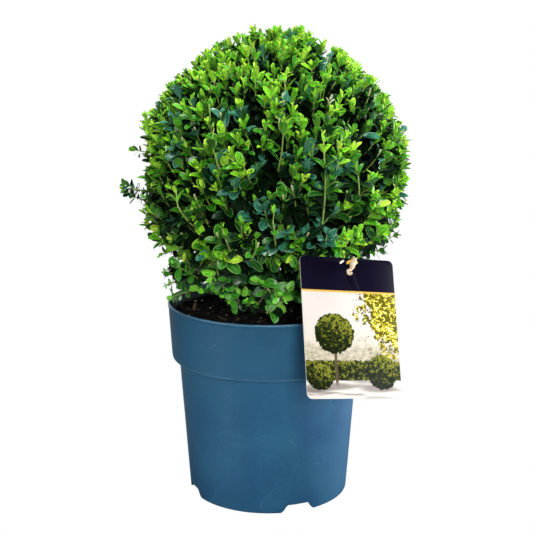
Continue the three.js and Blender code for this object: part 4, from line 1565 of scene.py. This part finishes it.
def makeChips(surface):
    # slivers of wood and dry leaf lying flat on the soil
    form, count = chipForm, chipForm["count"]
    place = crumbPoints(count, surface, 0.15) + np.array([0, 0, form["lift"]])
    turn = dice.uniform(0, 2 * math.pi, count)
    along = unit(np.stack([np.cos(turn), np.sin(turn), dice.normal(0, form["tilt"][0], count)], axis=1))
    face = squareTo(unit(np.array([0, 0, 1.0]) + dice.normal(0, form["tilt"][1], (count, 3))), along)
    length = dice.uniform(*form["length"], count)
    chips = {"place": place, "along": along, "face": face, "length": length,
             "width": length * dice.uniform(*form["slender"], count), "fold": dice.normal(*form["fold"], count),
             "curl": dice.normal(*form["curl"], count)}
    piece = makeLeafPiece("dryChips", chips, 1.0)
    dress(piece, leafMaterial("chipLeaves"), [])


# stem and boughs

woodForm = {
    "grain": 0.00075,  # size of the finest bark detail
    "boughRadius": (0.0029, 0.0016),  # at the foot and at the tip
    "upperRadius": (0.0036, 0.0024),
    "relief": ((0.006, 0.00105, "CLOUDS"), (0.0022, 0.0007, "VORONOI")),
    "pale": (0.235, 0.185, 0.120),
    "dark": (0.085, 0.064, 0.042),
    "green": (0.11, 0.13, 0.06),
}


def boughPath(name):
    foot, tip, _ = limbEnds(name)
    root = np.array([foot[0] * 0.25, foot[1] * 0.25, foot[2] - 0.004])
    bend = lerp(foot, tip, 0.7)
    t = np.linspace(0, 1, 12)[:, None]
    return (1 - t) ** 3 * root + 3 * t * (1 - t) ** 2 * foot + 3 * t ** 2 * (1 - t) * bend + t ** 3 * tip


def makeWood():
    form = woodForm
    stem = copyOfNode("stem", "stemShape")
    applyModifier(stem, "SUBSURF", levels=2, render_levels=2)
    names = upperBoughNames + lowerBoughNames
    paths = np.array([boughPath(name) for name in names])
    thick = [form["upperRadius"]] * len(upperBoughNames) + [form["boughRadius"]] * len(lowerBoughNames)
    radii = np.array([np.linspace(*ends, paths.shape[1]) for ends in thick])
    wood = joined([stem, makeTubes("boughShapes", paths, radii, 10)], "stemAndBoughs")
    pick(wood)
    wood.data.remesh_voxel_size = form["grain"]
    bpy.ops.object.voxel_remesh()
    roughen(wood, form["relief"], mid_level=0.5)
    bpy.ops.object.shade_smooth()
    dress(wood, barkMaterial(), ["stem", *names])
    print("wood:", len(wood.data.polygons), "faces")


def barkMaterial():
    material, tree, shader = newMaterial("boxBark", woodForm["pale"], 0.85)
    pale, dark, green = ((*woodForm[key], 1) for key in ("pale", "dark", "green"))
    where = objectPlace(tree)
    furrows = grain(tree, where, 300.0, 4.0, (1.0, 1.0, 0.28))
    colour = blend(tree, span(tree, furrows, 0.40, 0.62), dark, pale)
    colour = blend(tree, span(tree, grain(tree, where, 70.0, 2.0), 0.5, 0.72, 0.0, 0.5), colour, green)
    paint(tree, shader, colour, furrows, 0.8, 0.001)
    return material


# label

cardLow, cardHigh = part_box("label_card")
labelForm = {
    "middle": (cardLow + cardHigh) / 2,
    "width": 0.0948,
    "height": 0.1213,
    "thickness": 0.0008,
    "corner": 0.005,
    "turn": 30.3,  # degrees: about the vertical, then leaning back, then in its own plane
    "lean": -21.8,
    "roll": 9.1,
    "clear": (0.002, 0.001, 0.003),  # room kept free of leaves beside, above and behind it
    "slotDrop": 0.0036,
    "spareSlot": (-0.0054, 0.0055, 0.0019, 33),  # across, width, height, tilt
    "tieSlot": (0.0046, 0.0042, 0.0042, 0),
}


def labelTurn():
    lean, roll, turn = (math.radians(labelForm[key]) for key in ("lean", "roll", "turn"))
    return (Matrix.Rotation(turn, 4, "Z") @ Matrix.Rotation(lean, 4, "X") @ Matrix.Rotation(roll, 4, "Y"))


def hangOnLabel(piece):
    # from the label's own axes (across, out of its back, up) to its place
    piece.matrix_world = Matrix.Translation(labelForm["middle"]) @ labelTurn()
    applyPlace(piece)


def slotCutter(slot):
    across, width, height, tilt = slot
    deselect()
    bpy.ops.mesh.primitive_cylinder_add(vertices=40, radius=0.5, depth=0.01, rotation=(math.pi / 2, 0, 0))
    hole = bpy.context.object
    applyPlace(hole)
    hole.scale = (width, 1, height)
    hole.rotation_euler = (0, math.radians(-tilt), 0)
    hole.location = (across, 0, labelForm["height"] / 2 - labelForm["slotDrop"])
    applyPlace(hole)
    return hole


def makeLabel():
    form = labelForm
    deselect()
    bpy.ops.mesh.primitive_plane_add(size=1, rotation=(math.pi / 2, 0, 0))
    card = bpy.context.object
    card.name = "plantLabel"
    card.scale = (form["width"], form["height"], 1)
    applyPlace(card)
    bpy.ops.object.mode_set(mode="EDIT")
    bpy.ops.mesh.select_all(action="SELECT")
    bpy.ops.mesh.bevel(offset=form["corner"], segments=8, affect="VERTICES")
    bpy.ops.object.mode_set(mode="OBJECT")
    applyModifier(card, "SOLIDIFY", thickness=form["thickness"], offset=0)
    cutWith(card, [slotCutter(form["spareSlot"]), slotCutter(form["tieSlot"])])
    applyModifier(card, "BEVEL", width=0.00018, segments=2, limit_method="ANGLE", angle_limit=math.radians(60))
    layer = card.data.uv_layers[0] if card.data.uv_layers else card.data.uv_layers.new(name="print")
    layer.name = "print"
    for loop in card.data.loops:
        p = card.data.vertices[loop.vertex_index].co
        layer.uv[loop.index].vector = (p.x / form["width"] + 0.5, p.z / form["height"] + 0.5)
    card.data.materials.clear()
    for material in (labelPrint(), plainPlastic("labelEdge", (0.80, 0.78, 0.72)),
                     plainPlastic("labelBack", (0.86, 0.86, 0.84))):
        card.data.materials.append(material)
    for face in card.data.polygons:
        face.material_index = 0 if face.normal.y < -0.9 else (2 if face.normal.y > 0.9 else 1)
    smooth(card, 30)
    hangOnLabel(card)
    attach(card, "root")
    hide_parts("label_card")
    # the spare slot still holds its pale punching
    plug = slotCutter(form["spareSlot"])
    plug.name = "slotPlug"
    plug.scale = (1, form["thickness"] * 1.2 / 0.01, 1)
    applyPlace(plug)
    applyModifier(plug, "BEVEL", width=0.0002, segments=2, limit_method="ANGLE", angle_limit=math.radians(60))
    smooth(plug, 40)
    hangOnLabel(plug)
    dress(plug, plainPlastic("palePunching", (0.98, 0.96, 0.86)), [])
    print("label:", len(card.data.polygons), "faces")


def plainPlastic(name, colour):
    material, tree, shader = newMaterial(name, colour, 0.35)
    other = tuple(part * 0.93 for part in colour)
    mixed, _, specks = mottled(tree, objectPlace(tree), 50.0, 700.0, 0.4, colour, other)
    paint(tree, shader, mixed, specks, 0.05, 0.0003)
    return material


# What is printed: a dark heading, a gold line, and a made-up garden: a sunlit bough, a clipped tree and domes.
# Places and sizes are shares of the card's width and height, from its lower left corner.
printForm = {
    "headFoot": 0.762,
    "goldFoot": 0.748,
    # middle, half width and half height of the clipped shapes
    "shapes": (((0.315, 0.455), 0.205, 0.140), ((0.145, 0.150), 0.135, 0.090), ((0.80, 0.185), 0.165, 0.125)),
    "stemWidth": 0.011,
    "stemFoot": 0.085,
    "hedgeTop": 0.265,
    "horizon": 0.125,
    "bough": ((1.00, 0.66), 0.36, 0.30),
    "softness": (0.004, 0.006),  # of the hedge's top, and of the stem and the horizon
}
inks = {
    "head": (0.0038, 0.0026, 0.0110),
    "gold": (0.62, 0.38, 0.08),
    "sky": (0.600, 0.555, 0.515),
    "haze": (0.620, 0.555, 0.430),
    "dark": (0.006, 0.010, 0.001),
    "mid": (0.032, 0.046, 0.006),
    "light": (0.200, 0.205, 0.022),
    "olive": (0.085, 0.080, 0.005),
    "yellow": (0.60, 0.49, 0.020),
    "pale": (0.93, 0.86, 0.36),
    "stem": (0.10, 0.065, 0.035),
    "paving": (0.715, 0.665, 0.600),
    "pavingShade": (0.22, 0.19, 0.17),
}


def oval(tree, u, v, form, ragged, soft=0.02):
    # 1 inside an oval with an uneven edge, and how far up and to the right in it a place is
    centre, wide, high = form
    x = calc(tree, "DIVIDE", calc(tree, "SUBTRACT", u, centre[0]), wide)
    y = calc(tree, "DIVIDE", calc(tree, "SUBTRACT", v, centre[1]), high)
    reach = calc(tree, "ADD", calc(tree, "MULTIPLY", x, x), calc(tree, "MULTIPLY", y, y))
    edge = calc(tree, "ADD", calc(tree, "SQRT", reach), ragged)
    return span(tree, edge, 1 - soft, 1 + soft, 1.0, 0.0), calc(tree, "MULTIPLY_ADD", x, 0.5, y)


def threeTones(tree, value, *tones):
    dark, mid, light = ((*inks[tone], 1) for tone in tones)
    tone = blend(tree, span(tree, value, 0.455, 0.50), dark, mid)
    return blend(tree, span(tree, value, 0.525, 0.585), tone, light)


def labelPrint():
    ink = {key: (*value, 1) for key, value in inks.items()}
    hedgeTop, horizon = printForm["hedgeTop"], printForm["horizon"]
    stemWidth, stemFoot = printForm["stemWidth"], printForm["stemFoot"]
    hedgeSoft, soft = printForm["softness"]
    clippedTones, sunlitTones = ("dark", "mid", "light"), ("olive", "yellow", "pale")
    material, tree, shader = newMaterial("labelPrint", inks["head"], 0.36, 0.08)
    where = mapPlace(tree, "print")
    u, v, _ = put(tree, "ShaderNodeSeparateXYZ", {0: where}).outputs
    clumps, tufts, flecks = (grain(tree, where, scale, detail, (1.0, 1.4, 1.0))
                             for scale, detail in ((8.0, 3.0), (24.0, 2.0), (60.0, 2.0)))
    streaks = grain(tree, where, 3.0, 3.0, (0.7, 9.0, 1.0))
    leaves = calc(tree, "MULTIPLY_ADD", tufts, 0.5, calc(tree, "MULTIPLY", flecks, 0.5))
    ragged = calc(tree, "MULTIPLY_ADD", leaves, 0.45, -0.225)

    # a hazy sky, and far trees that fade into it
    colour = blend(tree, span(tree, v, 0.25, 0.60), ink["haze"], ink["sky"])
    treeLine = span(tree, calc(tree, "MULTIPLY_ADD", clumps, 0.34, v), 0.50, 0.58, 1.0, 0.0)
    far = calc(tree, "MULTIPLY", treeLine, span(tree, tufts, 0.34, 0.66, 0.52, 0.16))
    colour = blend(tree, far, colour, ink["olive"])
    # the low hedge, its top in the sun
    hedge = calc(tree, "MULTIPLY_ADD", ragged, 0.12, v)
    hedge = span(tree, hedge, hedgeTop - hedgeSoft, hedgeTop + hedgeSoft, 1.0, 0.0)
    sun = span(tree, v, hedgeTop - 0.06, hedgeTop)
    sun = calc(tree, "MULTIPLY_ADD", sun, 0.08, calc(tree, "SUBTRACT", leaves, 0.02))
    colour = blend(tree, hedge, colour, threeTones(tree, sun, *clippedTones))
    # paving with long soft shadows
    ground = span(tree, v, horizon - soft, horizon + soft, 1.0, 0.0)
    shadow = calc(tree, "MULTIPLY", span(tree, streaks, 0.46, 0.60), span(tree, u, 0.1, 0.9, 1.0, 0.45))
    colour = blend(tree, ground, colour, blend(tree, shadow, ink["paving"], ink["pavingShade"]))
    # the clipped ball's stem
    middle = printForm["shapes"][0][0]
    stem = calc(tree, "ABSOLUTE", calc(tree, "SUBTRACT", u, middle[0]))
    stem = span(tree, stem, stemWidth, stemWidth + soft, 1.0, 0.0)
    stem = calc(tree, "MULTIPLY", stem, span(tree, v, stemFoot, stemFoot + 0.005))
    stem = calc(tree, "MULTIPLY", stem, span(tree, v, middle[1], middle[1] + 0.01, 1.0, 0.0))
    colour = blend(tree, stem, colour, ink["stem"])
    # the clipped ball and the domes, each with its shadow on the ground
    for centre, wide, high in printForm["shapes"]:
        foot = ((centre[0] - 0.05, min(centre[1] - high * 0.93, stemFoot)), wide * 1.15, 0.026)
        shade = calc(tree, "MULTIPLY", oval(tree, u, v, foot, 0.0, 0.4)[0], 0.85)
        colour = blend(tree, shade, colour, ink["pavingShade"])
        inside, sunward = oval(tree, u, v, (centre, wide, high), ragged)
        sun = calc(tree, "MULTIPLY_ADD", sunward, 0.10, calc(tree, "SUBTRACT", leaves, 0.01))
        colour = blend(tree, inside, colour, threeTones(tree, sun, *clippedTones))
    # the sunlit bough, with sky between its leaves
    broken = calc(tree, "MULTIPLY_ADD", clumps, 1.7, calc(tree, "MULTIPLY_ADD", leaves, 1.6, -1.70))
    inside, _ = oval(tree, u, v, printForm["bough"], broken, 0.03)
    sun = calc(tree, "ADD", leaves, span(tree, clumps, 0.35, 0.60, 0.02, -0.06))
    colour = blend(tree, inside, colour, threeTones(tree, sun, *sunlitTones))
    for foot, name in ((printForm["goldFoot"], "gold"), (printForm["headFoot"], "head")):
        colour = blend(tree, span(tree, v, foot - 0.001, foot), colour, ink[name])
    tree.links.new(colour, shader.inputs["Base Color"])
    return material


# tie

tieForm = {
    "across": 0.0046,
    "front": -0.0046,
    "slant": 0.45,  # how far it leans aside as it hangs down
    "drops": (0.0020, 0.0050, 0.0080, 0.0104),
    "curl": 0.0018,
    "curlDrop": 0.0134,
    "curlFrom": (75, 350),  # degrees
    "strands": 3,
    "strandRadius": 0.00125,
    # how thick it is, from behind the label to the end of the curl
    "swell": ((0, 0.14, 0.24, 0.34, 0.46, 0.56, 0.66, 1), (0.35, 0.38, 0.66, 1.05, 1.40, 1.25, 0.78, 0.58)),
    "twist": 0.0010,
    "turns": 2.6,
    "knotDrop": 0.0020,
    "knotDroop": (0.0026, 0.0014),  # how far its left and right ends hang down
    "knotHalf": 0.0058,
    "knotRadius": (0.0010, 0.0011, 0.0004),
}


def tieCourse():
    # over the label's top edge, down its face, and round in a small curl, in the label's own axes
    x, top, front = tieForm["across"], labelForm["height"] / 2, tieForm["front"]
    course = [(x + 0.0014, 0.0024, top - 0.0026), (x + 0.0013, 0.0012, top + 0.0006),
              (x + 0.0012, -0.0014, top + 0.0005)]
    course += [(x + 0.0011 - drop * tieForm["slant"], front, top - drop) for drop in tieForm["drops"]]
    size, drop = tieForm["curl"], tieForm["curlDrop"]
    middle = (x + 0.0004 - drop * tieForm["slant"], top - drop)
    for turn in np.radians(np.linspace(*tieForm["curlFrom"], 9)):
        course.append((middle[0] + size * math.cos(turn), front, middle[1] + size * math.sin(turn)))
    return course


def smoothCourse(points, count):
    # an even walk along a curve through the points
    points = np.array(points)
    points = np.concatenate([[2 * points[0] - points[1]], points, [2 * points[-1] - points[-2]]])
    walk = []
    for a, b, c, d in zip(points[:-3], points[1:-2], points[2:-1], points[3:]):
        for t in np.linspace(0, 1, 12, endpoint=False):
            walk.append(0.5 * (2 * b + (c - a) * t + (2 * a - 5 * b + 4 * c - d) * t ** 2
                               + (3 * b - a - 3 * c + d) * t ** 3))
    walk = np.array(walk + [points[-2]])
    far = np.concatenate([[0], np.cumsum(np.linalg.norm(np.diff(walk, axis=0), axis=1))])
    even = np.linspace(0, far[-1], count)
    return np.stack([np.interp(even, far, walk[:, axis]) for axis in range(3)], axis=1)


def makeTie():
    form = tieForm
    along = np.linspace(0, 1, 40)
    course = smoothCourse(tieCourse(), len(along))[None]
    _, side, over = tubeFrames(course)
    swell = np.interp(along, *form["swell"])
    paths, radii = [], []
    for strand in range(form["strands"]):
        turn = along * form["turns"] * 2 * math.pi + strand * 2 * math.pi / form["strands"]
        offset = side[0] * np.cos(turn)[:, None] + over[0] * np.sin(turn)[:, None] * 0.7
        paths.append(course[0] + offset * (form["twist"] * swell)[:, None])
        radii.append(form["strandRadius"] * swell)
    straw = raffiaMaterial("raffia", (1.0, 0.92, 0.72), (0.44, 0.22, 0.07))
    hangStraw("raffiaTie", paths, radii, straw, "label_tie")

    # two short golden strands cross behind it
    half, t = form["knotHalf"], np.linspace(-1, 1, 13)
    droop = np.abs(t) * np.where(t < 0, *form["knotDroop"])
    bar = np.stack([form["across"] - 0.0008 + t * half, -0.0019 + 0.0003 * t ** 2,
                    labelForm["height"] / 2 - form["knotDrop"] - droop], axis=1)
    thick = np.interp(np.abs(t), [0, 0.6, 1], form["knotRadius"])
    gold = raffiaMaterial("goldRaffia", (1.0, 0.72, 0.13), (0.78, 0.44, 0.05))
    bars = [bar, bar + np.array([0.0002, -0.0003, -0.0010])]
    hangStraw("tieKnot", bars, [thick, thick * 0.8], gold, "label_toggle")


def hangStraw(name, paths, radii, material, node):
    piece = makeTubes(name, np.array(paths), np.array(radii), 10)
    smooth(piece, 60)
    hangOnLabel(piece)
    dress(piece, material, [node])


def raffiaMaterial(name, pale, dark):
    return strandMaterial(name, (dark, pale), 0.6, (5.0, 4.0, (6.0, 1.2, 1.0)), (0.43, 0.57), (0.6, 0.0006))


makeStudio()
makePot()
ground = makeSoil()
makeCrumbs(ground)
makeChips(ground)
makeWood()
makeFoliage()
makeLabel()
makeTie()
